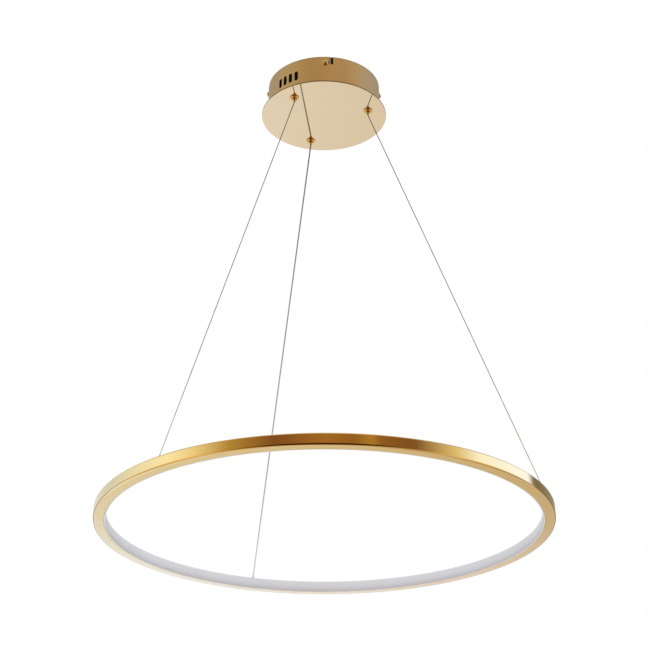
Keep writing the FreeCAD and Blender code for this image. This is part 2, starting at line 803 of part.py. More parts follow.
def driver_case():
    corner = (driver_middle_x - driver_length / 2, -driver_width / 2)
    case = rounded_box(corner, (driver_length, driver_width, driver_height), driver_edge)
    top_edges = [edge for edge in case.Edges if edge.BoundBox.ZMin > plate_top + driver_height / 2]
    case = case.makeChamfer(driver_bevel, top_edges)
    ears_length = driver_length + 2 * ear_length
    ears = rounded_box((driver_middle_x - ears_length / 2, -ear_width / 2),
                       (ears_length, ear_width, ear_thickness), ear_edge)
    holes = [cylinder(stud_radius + shaft_clearance, ear_thickness, place) for place in ear_places()]
    return case.fuse(ears).removeSplitter().cut(holes)


def block_pole_xs():
    return [block_corner[0] + block_first_pole + pole * block_pole_pitch for pole in range(3)]


def block_screw_places():
    top = plate_top + block_height
    for x in block_pole_xs():
        for y in (block_corner[1] + block_screw_inset, block_corner[1] + block_width - block_screw_inset):
            yield Vector(x, y, top - block_screw_length - block_screw_drop)


def terminal_block():
    """Three-pole screw terminal with its wire bores along Y."""
    block = rounded_box(block_corner, (block_length, block_width, block_height), block_edge)
    starts = [Vector(x, block_corner[1], plate_top + lead_height) for x in block_pole_xs()]
    bores = [Part.makeCylinder(block_bore_radius, block_width, start, Vector(0, 1, 0)) for start in starts]
    socket_depth = block_screw_length + block_screw_drop
    sockets = [cylinder(block_screw_radius + shaft_clearance, socket_depth, place)
               for place in block_screw_places()]
    sink = cylinder(nut_flats / math.sqrt(3) + loose_clearance, block_sink,
                    block_stud_place() + Vector(0, 0, block_height - block_sink))
    stud_hole = cylinder(stud_radius + shaft_clearance, block_height, block_stud_place())
    return block.cut(bores + sockets + [sink, stud_hole])


def terminal_screws():
    return Part.makeCompound([cylinder(block_screw_radius, block_screw_length, place)
                              for place in block_screw_places()])


def output_connector():
    size = (connector_length, connector_width, connector_height)
    return rounded_box(connector_corner, size, connector_edge)


def mains_lead():
    """From the driver's right end to the terminal block."""
    height = plate_top + lead_height
    start_x = driver_middle_x + driver_length / 2
    end_x = block_pole_xs()[2]
    points = [Vector(start_x, driver_lead_y, height), Vector(end_x, driver_lead_y, height),
              Vector(end_x, block_corner[1], height)]
    return tube_along(points, lead_radius, lead_bend)


def output_lead():
    """From the driver's left end to the output connector."""
    height = plate_top + connector_height / 2
    start_x = driver_middle_x - driver_length / 2
    turn_x = start_x - output_lead_reach
    end_y = connector_corner[1] + connector_width / 2
    points = [Vector(start_x, driver_lead_y, height), Vector(turn_x, driver_lead_y, height),
              Vector(turn_x, end_y, height), Vector(connector_corner[0], end_y, height)]
    return tube_along(points, lead_radius, lead_bend)


def lamp():
    """Every node of the lamp by name."""
    nodes = {
        "ceiling_bracket": ceiling_bracket(),
        "tab_nuts": tab_nuts(),
        "supply_grommet": supply_grommet(),
        "earth_screw": earth_screw(),
        "canopy_wall": canopy_wall(),
        "canopy_plate": canopy_plate(),
        "plate_studs": plate_studs(),
        "plate_nuts": plate_nuts(),
        "lock_washers": lock_washers(),
        "lock_nuts": lock_nuts(),
        "gripper_caps": gripper_caps(),
        "driver_case": driver_case(),
        "terminal_block": terminal_block(),
        "terminal_screws": terminal_screws(),
        "output_connector": output_connector(),
        "mains_lead": mains_lead(),
        "output_lead": output_lead(),
        "power_cable_tail": power_tail(),
        "ring_profile": ring_profile(),
        "diffuser": diffuser(),
        "led_strip": led_strip(),
        "led_chips": led_chips(),
        "ring_joiners": ring_joiners(),
        "joiner_screws": joiner_screws(),
        "nipple_nuts": nipple_nuts(),
        "strip_lead": strip_lead(),
        "power_cable": free_rope("power"),
    }
    for side, azimuth in screw_azimuths.items():
        nodes["side_screw_" + side] = side_screw(azimuth)
    for side in gripper_azimuths:
        nodes["gripper_body_" + side] = gripper_body(side)
        nodes["release_plunger_" + side] = release_plunger(side)
        nodes["ball_cage_" + side] = ball_cage(side)
        nodes["cage_balls_" + side] = cage_balls(side)
        nodes["cage_spring_" + side] = cage_spring(side)
        nodes["nipple_" + side] = nipple(side)
        nodes["rope_end_" + side] = rope_end(side)
    for side in ("left", "right"):
        nodes["rope_" + side] = free_rope(side)
        nodes["rope_tail_" + side] = rope_tail(side)
    return nodes


os.makedirs("parts", exist_ok=True)
for name, shape in lamp().items():
    solids = shape.Solids
    print(name, len(solids), "solids", round(sum(solid.Volume for solid in solids)), "mm3", shape.isValid())
    shape.exportStep("parts/" + name + ".step")
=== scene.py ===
import json
import math
import bmesh
import bpy
from mathutils import Matrix, Vector


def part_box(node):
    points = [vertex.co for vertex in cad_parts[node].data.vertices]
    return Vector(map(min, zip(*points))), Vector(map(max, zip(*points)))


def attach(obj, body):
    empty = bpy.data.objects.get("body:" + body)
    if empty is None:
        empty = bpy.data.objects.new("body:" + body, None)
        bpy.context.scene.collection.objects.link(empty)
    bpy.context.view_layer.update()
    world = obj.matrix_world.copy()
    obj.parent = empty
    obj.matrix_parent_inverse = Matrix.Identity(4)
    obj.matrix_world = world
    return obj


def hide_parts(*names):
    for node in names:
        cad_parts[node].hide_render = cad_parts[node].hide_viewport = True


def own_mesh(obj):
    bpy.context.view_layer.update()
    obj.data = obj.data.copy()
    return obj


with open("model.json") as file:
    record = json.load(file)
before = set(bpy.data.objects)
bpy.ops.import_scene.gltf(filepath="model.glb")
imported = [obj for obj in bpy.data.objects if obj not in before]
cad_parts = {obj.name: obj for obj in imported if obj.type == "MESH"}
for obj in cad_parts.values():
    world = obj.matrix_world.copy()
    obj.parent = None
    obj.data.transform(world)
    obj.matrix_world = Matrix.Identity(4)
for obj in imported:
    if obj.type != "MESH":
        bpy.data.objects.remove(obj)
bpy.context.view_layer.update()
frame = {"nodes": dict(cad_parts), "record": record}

mm = 0.001
nodes = frame["nodes"]
slotOf = {part["node"]: part["material_slot"] for part in frame["record"]["subparts"]}
bodyOf = {node: body for body, members in frame["record"]["behaviour"]["bodies"].items() for node in members}
sides = ("left", "power", "right")
screwAzimuths = {"front": 0.0, "right": 90.0, "back": 180.0, "left": 270.0}


def polar(radius, azimuth, height=0.0):
    angle = math.radians(azimuth)
    return Vector((radius * math.sin(angle), -radius * math.cos(angle), height))


def middleOf(node):
    low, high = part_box(node)
    return (Vector(low) + Vector(high)) / (2 * mm)


def lowOf(node):
    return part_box(node)[0].z / mm


def highOf(node):
    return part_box(node)[1].z / mm


# Places that several pieces share, read from the frame
plateBottom, plateTop = lowOf("canopy_plate"), highOf("canopy_plate")
ringBottom, ringTop = lowOf("ring_profile"), highOf("ring_profile")
gripperMouth, nippleMouth = lowOf("release_plunger_left"), highOf("nipple_left")
gripperPlaces = {side: middleOf("gripper_body_" + side) for side in sides}
nipplePlaces = {side: middleOf("nipple_" + side) for side in sides}
opalFace = 284.0    # radius of the opal band's face, which no box tells

# Camera of the photograph
camera = {
    "distance": 1951.3,   # level, from the lamp's axis
    "azimuth": -1.5,
    "height": -1345.7,
    "tilt": 116.04,       # degrees from straight down
    "roll": 0.046,
    "turn": 0.030,        # beyond the azimuth
    "lens": 86.80,
    "sensor": 36.0,
}


def makeCamera():
    lens = bpy.data.cameras.new("photoCamera")
    lens.lens = camera["lens"]
    lens.sensor_width = camera["sensor"]
    lens.clip_start = 0.05
    lens.clip_end = 200.0
    eye = bpy.data.objects.new("photoCamera", lens)
    eye.location = polar(camera["distance"], camera["azimuth"], camera["height"]) * mm
    eye.rotation_mode = "XYZ"
    turns = (camera["tilt"], camera["roll"], camera["turn"] + camera["azimuth"])
    eye.rotation_euler = [math.radians(turn) for turn in turns]
    bpy.context.scene.collection.objects.link(eye)
    bpy.context.scene.camera = eye
    bpy.context.scene.view_settings.view_transform = "Standard"


makeCamera()
print("camera is in place")


# Node trees
def addNode(tree, kind, inputs=None, **settings):
    made = tree.nodes.new(kind)
    for key, value in settings.items():
        setattr(made, key, value)
    for key, value in (inputs or {}).items():
        if isinstance(value, bpy.types.NodeSocket):
            tree.links.new(value, made.inputs[key])
        else:
            made.inputs[key].default_value = value
    return made


def math2(tree, operation, first, second=0.0, clamp=False):
    return addNode(tree, "ShaderNodeMath", {0: first, 1: second}, operation=operation, use_clamp=clamp).outputs[0]


def ramp(tree, factor, stops, interpolation="LINEAR"):
    made = addNode(tree, "ShaderNodeValToRGB", {0: factor})
    elements = made.color_ramp.elements
    made.color_ramp.interpolation = interpolation
    while len(elements) < len(stops):
        elements.new(0.5)
    for element, (place, colour) in zip(elements, stops):
        element.position = place
        element.color = (*colour, 1.0)
    return made.outputs[0]


def remap(tree, value, fromLow, fromHigh, toLow=0.0, toHigh=1.0, kind="LINEAR"):
    return addNode(tree, "ShaderNodeMapRange", {0: value, 1: fromLow, 2: fromHigh, 3: toLow, 4: toHigh},
                   interpolation_type=kind).outputs[0]


def blendColour(tree, factor, first, second, kind="MIX"):
    made = addNode(tree, "ShaderNodeMix", data_type="RGBA", blend_type=kind)
    for index, value in ((0, factor), (6, first), (7, second)):
        if isinstance(value, bpy.types.NodeSocket):
            tree.links.new(value, made.inputs[index])
        elif index == 0:
            made.inputs[index].default_value = value
        else:
            made.inputs[index].default_value = (*value, 1.0)
    return made.outputs[2]


# The room round the lamp, which only glossy rays see. Upright faces of the ring mirror the wall, those of the canopy
# the high wall, both by azimuth. Level faces mirror the low room behind, by the direction's height from -1 (straight
# down) to 0, and towards the front and the sides the low front, by azimuth.
studio = {
    "wall": [
        (-180, (0.96, 0.96, 0.96)), (-165, (0.80, 0.82, 0.86)), (-130, (0.70, 0.82, 0.98)),    # pale room
        (-84, (1.06, 1.12, 1.08)), (-68, (0.92, 0.88, 0.62)), (-48, (0.48, 0.33, 0.09)),       # left window
        (-26, (0.22, 0.09, 0.03)), (1, (0.38, 0.19, 0.04)), (13, (0.30, 0.14, 0.03)),          # brown screens in front
        (20, (0.44, 0.26, 0.055)), (23, (0.45, 0.27, 0.055)), (24, (0.29, 0.14, 0.03)), (43, (0.22, 0.10, 0.035)),
        (66, (0.80, 0.74, 0.46)), (80, (1.06, 1.22, 1.60)), (117, (1.08, 1.32, 2.10)),         # right window
        (122, (0.20, 0.17, 0.12)), (158, (0.33, 0.33, 0.30)),                                  # dark corner
        (171, (0.90, 0.90, 0.90)), (180, (0.96, 0.96, 0.96)),
    ],
    "highWall": [
        (-180, (0.50, 0.50, 0.48)), (-120, (0.46, 0.41, 0.35)), (-60, (0.54, 0.45, 0.32)), (0, (0.62, 0.49, 0.29)),
        (60, (0.60, 0.51, 0.39)), (110, (0.40, 0.39, 0.38)), (180, (0.50, 0.50, 0.48)),
    ],
    "lowRoom": [
        (-1.0, (0.62, 0.60, 0.58)), (-0.75, (0.70, 0.69, 0.68)), (-0.62, (0.84, 0.85, 0.86)),
        (-0.48, (0.84, 0.85, 0.86)), (-0.37, (0.71, 0.66, 0.53)), (-0.32, (0.70, 0.68, 0.62)),
        (-0.28, (0.92, 1.06, 1.55)), (-0.24, (0.92, 1.06, 1.55)),                              # bright strip of floor
        (-0.19, (0.42, 0.30, 0.16)), (0.0, (0.34, 0.23, 0.10)),
    ],
    "sideTint": [                                      # of the low room, by sideways direction
        (-0.30, (1.12, 1.24, 1.45)), (-0.12, (1.10, 1.20, 1.32)), (0.0, (1.0, 1.0, 1.0)),
        (0.17, (0.85, 0.77, 0.65)), (0.30, (0.85, 0.77, 0.65)),
    ],
    "lowFront": [
        (-180, (0.40, 0.30, 0.18)), (-105, (0.60, 0.47, 0.26)), (-66, (0.95, 0.70, 0.34)), (-48, (0.40, 0.25, 0.08)),
        (-28, (0.045, 0.015, 0.002)), (26, (0.045, 0.015, 0.002)), (48, (0.38, 0.24, 0.08)),
        (66, (0.92, 0.72, 0.38)), (105, (0.38, 0.29, 0.16)), (180, (0.40, 0.30, 0.18)),
    ],
    "ceiling": (0.80, 0.80, 0.80),
    "lowBelow": (0.24, 0.06),        # heights between which one part of the room gives way to the next
    "highAbove": (0.42, 0.50),
    "ceilingAbove": (0.80, 0.97),
    "frontUpTo": (0.20, 0.60),       # the same for the low front, by direction from front to back
    "brightest": 2.4,
    "softFront": 0.62,               # level of the plain light from the front and from behind, for dull faces
    "softBack": 1.08,
}
windowLamp = {"place": (0.3, -3.4, 1.6), "target": (0.0, 0.0, -0.4), "size": 2.4, "power": 20.0}    # metres, watts


def wideRamp(tree, value, low, high, stops):
    # A ramp over a value's own range whose colours may be brighter than one
    top = studio["brightest"]
    inside = [((place - low) / (high - low), tuple(c / top for c in colour)) for place, colour in stops]
    return blendColour(tree, 1.0, ramp(tree, remap(tree, value, low, high), inside), (top, top, top), "MULTIPLY")


def makeWorld():
    world = bpy.data.worlds.new("studio")
    world.use_nodes = True
    tree = world.node_tree
    tree.nodes.clear()
    direction = addNode(tree, "ShaderNodeTexCoord").outputs["Generated"]
    parts = addNode(tree, "ShaderNodeSeparateXYZ", {0: direction})
    x, y, z = parts.outputs[0], parts.outputs[1], parts.outputs[2]
    azimuth = math2(tree, "MULTIPLY", math2(tree, "ARCTAN2", x, math2(tree, "MULTIPLY", y, -1.0)), 180 / math.pi)
    wall = wideRamp(tree, azimuth, -180.0, 180.0, studio["wall"])
    highWall = wideRamp(tree, azimuth, -180.0, 180.0, studio["highWall"])
    wall = blendColour(tree, remap(tree, z, *studio["highAbove"], kind="SMOOTHSTEP"), wall, highWall)
    wall = blendColour(tree, remap(tree, z, *studio["ceilingAbove"], kind="SMOOTHSTEP"), wall, studio["ceiling"])
    lowRoom = blendColour(tree, 1.0, wideRamp(tree, z, -1.0, 0.0, studio["lowRoom"]),
                          wideRamp(tree, x, -0.30, 0.30, studio["sideTint"]), "MULTIPLY")
    lowFront = wideRamp(tree, azimuth, -180.0, 180.0, studio["lowFront"])
    lowRoom = blendColour(tree, remap(tree, y, *studio["frontUpTo"], kind="SMOOTHSTEP"), lowFront, lowRoom)
    seen = blendColour(tree, remap(tree, z, *studio["lowBelow"], kind="SMOOTHSTEP"), wall, lowRoom)
    path = addNode(tree, "ShaderNodeLightPath")
    metalRoom = addNode(tree, "ShaderNodeBackground", {0: seen, 1: 1.0})
    soft = remap(tree, y, -1.0, 1.0, studio["softFront"], studio["softBack"])
    plain = addNode(tree, "ShaderNodeBackground", {0: (1.0, 1.0, 1.0, 1.0), 1: soft})
    white = addNode(tree, "ShaderNodeBackground", {0: (1.0, 1.0, 1.0, 1.0), 1: 1.0})
    lit = addNode(tree, "ShaderNodeMixShader", {0: path.outputs["Is Glossy Ray"], 1: plain.outputs[0],
                                               2: metalRoom.outputs[0]})
    straight = math2(tree, "ADD", path.outputs["Is Camera Ray"], path.outputs["Is Transmission Ray"], clamp=True)
    shown = addNode(tree, "ShaderNodeMixShader", {0: straight, 1: lit.outputs[0], 2: white.outputs[0]})
    addNode(tree, "ShaderNodeOutputWorld", {0: shown.outputs[0]})
    bpy.context.scene.world = world


def makeLamp():
    light = bpy.data.lights.new("windowLight", "AREA")
    light.shape = "DISK"
    light.size = windowLamp["size"]
    light.energy = windowLamp["power"]
    lamp = bpy.data.objects.new("windowLight", light)
    lamp.location = windowLamp["place"]
    beam = Vector(windowLamp["target"]) - Vector(windowLamp["place"])
    lamp.rotation_euler = beam.to_track_quat("-Z", "Y").to_euler()
    lamp.visible_glossy = False
    bpy.context.scene.collection.objects.link(lamp)


makeWorld()
makeLamp()
print("studio is lit")


# Finishes
def newMaterial(name, **sockets):
    material = bpy.data.materials.new(name)
    material.use_nodes = True
    tree = material.node_tree
    shader = tree.nodes["Principled BSDF"]
    for key, value in sockets.items():
        shader.inputs[key.replace("_", " ")].default_value = value
    return material, tree, shader


def objectPoint(tree):
    return addNode(tree, "ShaderNodeTexCoord").outputs["Object"]


def aroundPoint(tree, alongScale, acrossScale):
    # Runs slowly along the circumference and quickly across it, for lines that follow the turning
    parts = addNode(tree, "ShaderNodeSeparateXYZ", {0: objectPoint(tree)})
    x, y, z = parts.outputs[0], parts.outputs[1], parts.outputs[2]
    radius = math2(tree, "SQRT", math2(tree, "ADD", math2(tree, "MULTIPLY", x, x), math2(tree, "MULTIPLY", y, y)))
    angle = math2(tree, "ARCTAN2", x, math2(tree, "MULTIPLY", y, -1.0))
    return addNode(tree, "ShaderNodeCombineXYZ", {
        0: math2(tree, "MULTIPLY", angle, alongScale), 1: math2(tree, "MULTIPLY", radius, acrossScale),
        2: math2(tree, "MULTIPLY", z, acrossScale)}).outputs[0]


def noise(tree, vector, scale, detail=3.0, roughness=0.5):
    return addNode(tree, "ShaderNodeTexNoise", {"Vector": vector, "Scale": scale, "Detail": detail,
                                                "Roughness": roughness}).outputs[0]


def spread(tree, value, low, high, fromLow=0.35, fromHigh=0.65):
    return remap(tree, value, fromLow, fromHigh, low, high)


def bump(tree, shader, height, strength, distance):
    made = addNode(tree, "ShaderNodeBump", {"Strength": strength, "Distance": distance, "Height": height})
    tree.links.new(made.outputs[0], shader.inputs["Normal"])


drumShades = {
    "cut": (0.06, 0.03, 0.015),      # painted shade on the sheared faces of the vents and slots
    "cutFacing": (0.55, 0.25),       # how far a sheared face points outwards
    "cutAbove": (2.0, 3.0),          # over the plate, past the drum's bend
    "rim": (0.17, 0.15, 0.10),       # painted shade along the upper rim
    "rimHeight": (-1.8, -1.0),
    "rimShadeShare": 0.55,
}
edgeShadeTilt = (0.85, 0.60)    # how far a face points up or down, from level face to edge


def facingOf(tree):
    return addNode(tree, "ShaderNodeTexCoord").outputs["Normal"]


def shadeDrum(tree, point, colour):
    # Painted shade darkens a sheared face, which points neither outwards nor up or down
    flat = addNode(tree, "ShaderNodeVectorMath", {0: point, 1: (1.0, 1.0, 0.0)}, operation="MULTIPLY").outputs[0]
    outward = addNode(tree, "ShaderNodeVectorMath", {0: flat}, operation="NORMALIZE").outputs[0]
    along = addNode(tree, "ShaderNodeVectorMath", {0: outward, 1: facingOf(tree)},
                    operation="DOT_PRODUCT").outputs["Value"]
    height = addNode(tree, "ShaderNodeSeparateXYZ", {0: point}).outputs[2]
    low, high = drumShades["cutAbove"]
    onWall = remap(tree, height, (plateTop + low) * mm, (plateTop + high) * mm)
    cutShade = remap(tree, math2(tree, "ABSOLUTE", along), *drumShades["cutFacing"])
    colour = blendColour(tree, math2(tree, "MULTIPLY", cutShade, onWall), colour, drumShades["cut"])
    # Painted shade along the drum's upper rim
    low, high = drumShades["rimHeight"]
    rimShade = remap(tree, height, low * mm, high * mm, 0.0, drumShades["rimShadeShare"])
    return blendColour(tree, rimShade, colour, drumShades["rim"])


def goldMaterial(name, pale, deep, roughness, lineScale, lineStrength, roughSpread=0.04, onDrum=False, edge=None,
                 metallic=1.0):
    # Plated metal: the colour drifts a little, and fine lines follow the turning or drawing.
    # An edge colour, painted shade, lies where the face points more sideways than up or down; on the drum, painted
    # shade darkens the cut faces and the upper rim
    material, tree, shader = newMaterial(name, Metallic=metallic)
    point = objectPoint(tree)
    drift = noise(tree, point, 9.0, 2.0)
    lines = noise(tree, aroundPoint(tree, 6.0, lineScale), 1.0, 4.0, 0.6)
    tone = math2(tree, "ADD", math2(tree, "MULTIPLY", drift, 0.5), math2(tree, "MULTIPLY", lines, 0.5))
    colour = blendColour(tree, spread(tree, tone, 0.0, 1.0), deep, pale)
    if onDrum:
        colour = shadeDrum(tree, point, colour)
    if edge:
        tilt = addNode(tree, "ShaderNodeSeparateXYZ", {0: facingOf(tree)}).outputs[2]
        colour = blendColour(tree, remap(tree, math2(tree, "ABSOLUTE", tilt), *edgeShadeTilt), colour, edge)
    tree.links.new(colour, shader.inputs["Base Color"])
    smudge = noise(tree, point, 34.0, 4.0, 0.6)
    half = roughSpread / 2
    fine = spread(tree, lines, roughness - half, roughness + half)
    tree.links.new(math2(tree, "ADD", spread(tree, smudge, -half, half), fine), shader.inputs["Roughness"])
    bump(tree, shader, lines, lineStrength, 0.00002)
    return material


def steelMaterial(name, colour, roughness):
    # Zinc plating with a faint spangle and clouds of wear
    material, tree, shader = newMaterial(name, Metallic=1.0)
    point = objectPoint(tree)
    spangle = addNode(tree, "ShaderNodeTexVoronoi", {"Vector": point, "Scale": 260.0}).outputs["Distance"]
    cloud = noise(tree, point, 45.0, 4.0)
    tone = math2(tree, "ADD", math2(tree, "MULTIPLY", spangle, 0.35), math2(tree, "MULTIPLY", cloud, 0.65))
    dark = tuple(c * 0.82 for c in colour)
    shade = blendColour(tree, spread(tree, tone, 0.0, 1.0, 0.25, 0.75), dark, colour)
    tree.links.new(shade, shader.inputs["Base Color"])
    tree.links.new(spread(tree, cloud, roughness - 0.06, roughness + 0.08), shader.inputs["Roughness"])
    bump(tree, shader, tone, 0.12, 0.00005)
    return material


def plasticMaterial(name, colour, roughness, grain=900.0, grainStrength=0.2):
    # Moulded plastic or rubber with a fine grain
    material, tree, shader = newMaterial(name)
    point = objectPoint(tree)
    cloud = noise(tree, point, 30.0, 3.0)
    dark = tuple(c * 0.96 for c in colour)
    tree.links.new(blendColour(tree, spread(tree, cloud, 0.0, 1.0), dark, colour), shader.inputs["Base Color"])
    fine = noise(tree, point, grain, 2.0)
    tree.links.new(spread(tree, cloud, roughness - 0.04, roughness + 0.05), shader.inputs["Roughness"])
    bump(tree, shader, fine, grainStrength, 0.00004)
    return material


def ropeMaterial(name, high, middle, low, metallic, roughness, grain):
    # Painted shade makes it dark under the canopy and painted light pale at the ring, grey over most of its run, with
    # small worn spots
    material, tree, shader = newMaterial(name, Metallic=metallic)
    point = objectPoint(tree)
    height = addNode(tree, "ShaderNodeSeparateXYZ", {0: point}).outputs[2]
    fall = remap(tree, height, gripperMouth * mm, nippleMouth * mm)
    shade = ramp(tree, fall, [(0.0, high), (0.80, middle), (1.0, low)])
    spots = noise(tree, point, grain, 3.0)
    shadedAndWorn = blendColour(tree, spread(tree, spots, 0.0, 0.16), shade, (0.0, 0.0, 0.0))
    tree.links.new(shadedAndWorn, shader.inputs["Base Color"])
    tree.links.new(spread(tree, spots, roughness - 0.05, roughness + 0.05), shader.inputs["Roughness"])
    bump(tree, shader, spots, 0.1, 0.00002)
    return material


def opalMaterial(name, foot, middle, top, rim, roughness):
    # The unlit face has painted shade, a little darker towards its lower edge, and painted light, pale past its narrow
    # rims
    material, tree, shader = newMaterial(name)
    point = objectPoint(tree)
    parts = addNode(tree, "ShaderNodeSeparateXYZ", {0: point})
    x, y = parts.outputs[0], parts.outputs[1]
    radius = math2(tree, "SQRT", math2(tree, "ADD", math2(tree, "MULTIPLY", x, x), math2(tree, "MULTIPLY", y, y)))
    rise = remap(tree, parts.outputs[2], ringBottom * mm, ringTop * mm)
    shade = ramp(tree, rise, [(0.0, foot), (0.45, middle), (1.0, top)])
    paleRimLight = remap(tree, radius, (opalFace + 0.25) * mm, (opalFace + 0.55) * mm)
    shade = blendColour(tree, paleRimLight, shade, rim)
    cloud = noise(tree, point, 14.0, 2.0)
    milkyShaded = blendColour(tree, spread(tree, cloud, 0.0, 0.03), shade, (0.0, 0.0, 0.0))
    tree.links.new(milkyShaded, shader.inputs["Base Color"])
    tree.links.new(spread(tree, cloud, roughness - 0.03, roughness + 0.03), shader.inputs["Roughness"])
    shader.inputs["Specular IOR Level"].default_value = 0.2
    bump(tree, shader, noise(tree, point, 700.0, 2.0), 0.03, 0.00002)
    return material


ringGold = goldMaterial("ringGold", (0.94, 0.71, 0.355), (0.91, 0.68, 0.32), 0.10, 5200.0, 0.2)
# The plate's dark edge colour is painted shade
mirrorGold = goldMaterial("mirrorGold", (0.875, 0.715, 0.485), (0.855, 0.695, 0.465), 0.035, 900.0, 0.02,
                          roughSpread=0.012, edge=(0.26, 0.19, 0.13))
satinGold = goldMaterial("satinGold", (0.76, 0.55, 0.285), (0.70, 0.50, 0.25), 0.32, 4200.0, 0.22, onDrum=True)
screwGold = goldMaterial("screwGold", (0.94, 0.72, 0.38), (0.88, 0.65, 0.32), 0.34, 5000.0, 0.1)
# The deeper gold on the grippers' sides is painted shade
gripperGold = goldMaterial("gripperGold", (0.92, 0.67, 0.32), (0.87, 0.61, 0.27), 0.38, 7000.0, 0.2,
                           edge=(0.70, 0.39, 0.08))
tipGold = goldMaterial("tipGold", (0.94, 0.72, 0.40), (0.88, 0.64, 0.32), 0.38, 7000.0, 0.2)
nippleGold = goldMaterial("nippleGold", (0.93, 0.87, 0.76), (0.90, 0.83, 0.71), 0.22, 7000.0, 0.2, metallic=0.4)
zincSteel = steelMaterial("zincSteel", (0.66, 0.67, 0.69), 0.30)
# A darker copy of the zinc steel for the bracket inside the canopy, as painted shade
shadedBracketSteel = steelMaterial("shadedBracketSteel", (0.42, 0.41, 0.40), 0.34)
# The ropes' dark top and pale foot are painted shade and painted light
ropeSteel = ropeMaterial("ropeSteel", (0.10, 0.10, 0.11), (0.58, 0.59, 0.62), (0.94, 0.95, 0.98), 0.75, 0.40, 900.0)
ropeSheath = ropeMaterial("ropeSheath", (0.18, 0.18, 0.18), (0.58, 0.58, 0.57), (0.90, 0.90, 0.90), 0.0, 0.32, 600.0)
# The opal's darker foot is painted shade and its pale rims painted light
opal = opalMaterial("opal", (0.60, 0.565, 0.57), (0.76, 0.75, 0.79), (0.83, 0.83, 0.86), (0.95, 0.95, 0.94), 0.42)
driverPlastic = plasticMaterial("driverPlastic", (0.80, 0.80, 0.78), 0.45)
whiteNylon = plasticMaterial("whiteNylon", (0.86, 0.86, 0.84), 0.40)
leadSheath = plasticMaterial("leadSheath", (0.82, 0.82, 0.80), 0.42)
blackRubber = plasticMaterial("blackRubber", (0.025, 0.025, 0.026), 0.62, 500.0, 0.3)
stripBoard = plasticMaterial("stripBoard", (0.88, 0.88, 0.86), 0.38)
phosphor = plasticMaterial("phosphor", (0.90, 0.72, 0.20), 0.35)
slotMaterials = {
    "mirror_gold": mirrorGold, "satin_gold": satinGold, "ring_gold": ringGold, "screw_gold": screwGold,
    "gripper_gold": gripperGold, "nipple_gold": nippleGold, "zinc_steel": zincSteel, "steel_rope": ropeSteel,
    "power_rope": ropeSheath, "opal": opal, "driver_plastic": driverPlastic, "white_plastic": whiteNylon,
    "lead_sheath": leadSheath, "black_rubber": blackRubber, "strip_board": stripBoard, "phosphor": phosphor,
}
for name, node in nodes.items():
    node.data.materials.clear()
    node.data.materials.append(shadedBracketSteel if name == "ceiling_bracket" else slotMaterials[slotOf[name]])
print("finishes are made")


# Mesh work
def rounded(corners, closed=True, steps=5):
    # Corners are (radius, height) or (radius, height, round)
    points = []
    count = len(corners)
    for index, corner in enumerate(corners):
        here = Vector(corner[:2])
        if len(corner) < 3 or (not closed and index in (0, count - 1)):
            points.append(here)
            continue
        back = (Vector(corners[index - 1][:2]) - here).normalized()
        ahead = (Vector(corners[(index + 1) % count][:2]) - here).normalized()
        half = back.angle(ahead) / 2
        middle = here + (back + ahead).normalized() * corner[2] / math.sin(half)
        first = here + back * corner[2] / math.tan(half) - middle
        last = here + ahead * corner[2] / math.tan(half) - middle
        sweep = math.atan2(first.x * last.y - first.y * last.x, first.dot(last))
        for step in range(steps + 1):
            angle = sweep * step / steps
            points.append(middle + Vector((first.x * math.cos(angle) - first.y * math.sin(angle),
                                           first.x * math.sin(angle) + first.y * math.cos(angle))))
    return points


def newPiece(name, vertices, faces, sharp=32.0, weighted=True):
    # Vertices come in millimetres
    mesh = bpy.data.meshes.new(name)
    mesh.from_pydata([Vector(v) * mm for v in vertices], [], faces)
    mesh.polygons.foreach_set("use_smooth", [True] * len(mesh.polygons))
    mesh.set_sharp_from_angle(angle=math.radians(sharp))
    mesh.update()
    piece = bpy.data.objects.new(name, mesh)
    bpy.context.scene.collection.objects.link(piece)
    if weighted:
        modifier = piece.modifiers.new("faceNormals", "WEIGHTED_NORMAL")
        modifier.keep_sharp = True
        modifier.weight = 60
    return piece


def latheMesh(section, steps=96, start=0.0, sweep=360.0, closed=True, wave=None):
    # A section of (radius, height) points turned about Z; a point on the axis becomes one vertex.
    # wave(radius, height, turn) may move a point's radius, turn being 0 to 1
    vertices, faces, rows = [], [], []
    full = sweep == 360.0
    for step in range(steps if full else steps + 1):
        row = []
        for index, (radius, height) in enumerate(section):
            if radius < 1e-6 and step > 0:
                row.append(rows[0][index])
                continue
            row.append(len(vertices))
            reach = wave(radius, height, step / steps) if wave else radius
            vertices.append(polar(reach, start + sweep * step / steps, height))
        rows.append(row)
    count = len(section)
    links = count if closed else count - 1
    for step in range(steps):
        near, far = rows[step], rows[(step + 1) % len(rows)]
        for index in range(links):
            after = (index + 1) % count
            corners = [near[index], far[index], far[after], near[after]]
            face = [c for place, c in enumerate(corners) if c not in corners[:place]]
            if len(face) > 2:
                faces.append(face)
    if not full:
        faces += [list(rows[0]), list(reversed(rows[-1]))]
    return vertices, faces


def moved(mesh, shift):
    vertices, faces = mesh
    return [Vector(v) + Vector(shift) for v in vertices], faces


def fixNormals(piece):
    # All faces point outwards
    work = bmesh.new()
    work.from_mesh(piece.data)
    bmesh.ops.recalc_face_normals(work, faces=work.faces)
    work.to_mesh(piece.data)
    work.free()


def settle(piece, replaced, material=None):
    # A piece rides with the node that it takes the place of and gets that node's finish; the node is hidden
    fixNormals(piece)
    slot = slotOf[replaced]
    piece.data.materials.clear()
    piece.data.materials.append(material or slotMaterials[slot])
    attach(piece, bodyOf[replaced])
    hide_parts(replaced)
    return piece


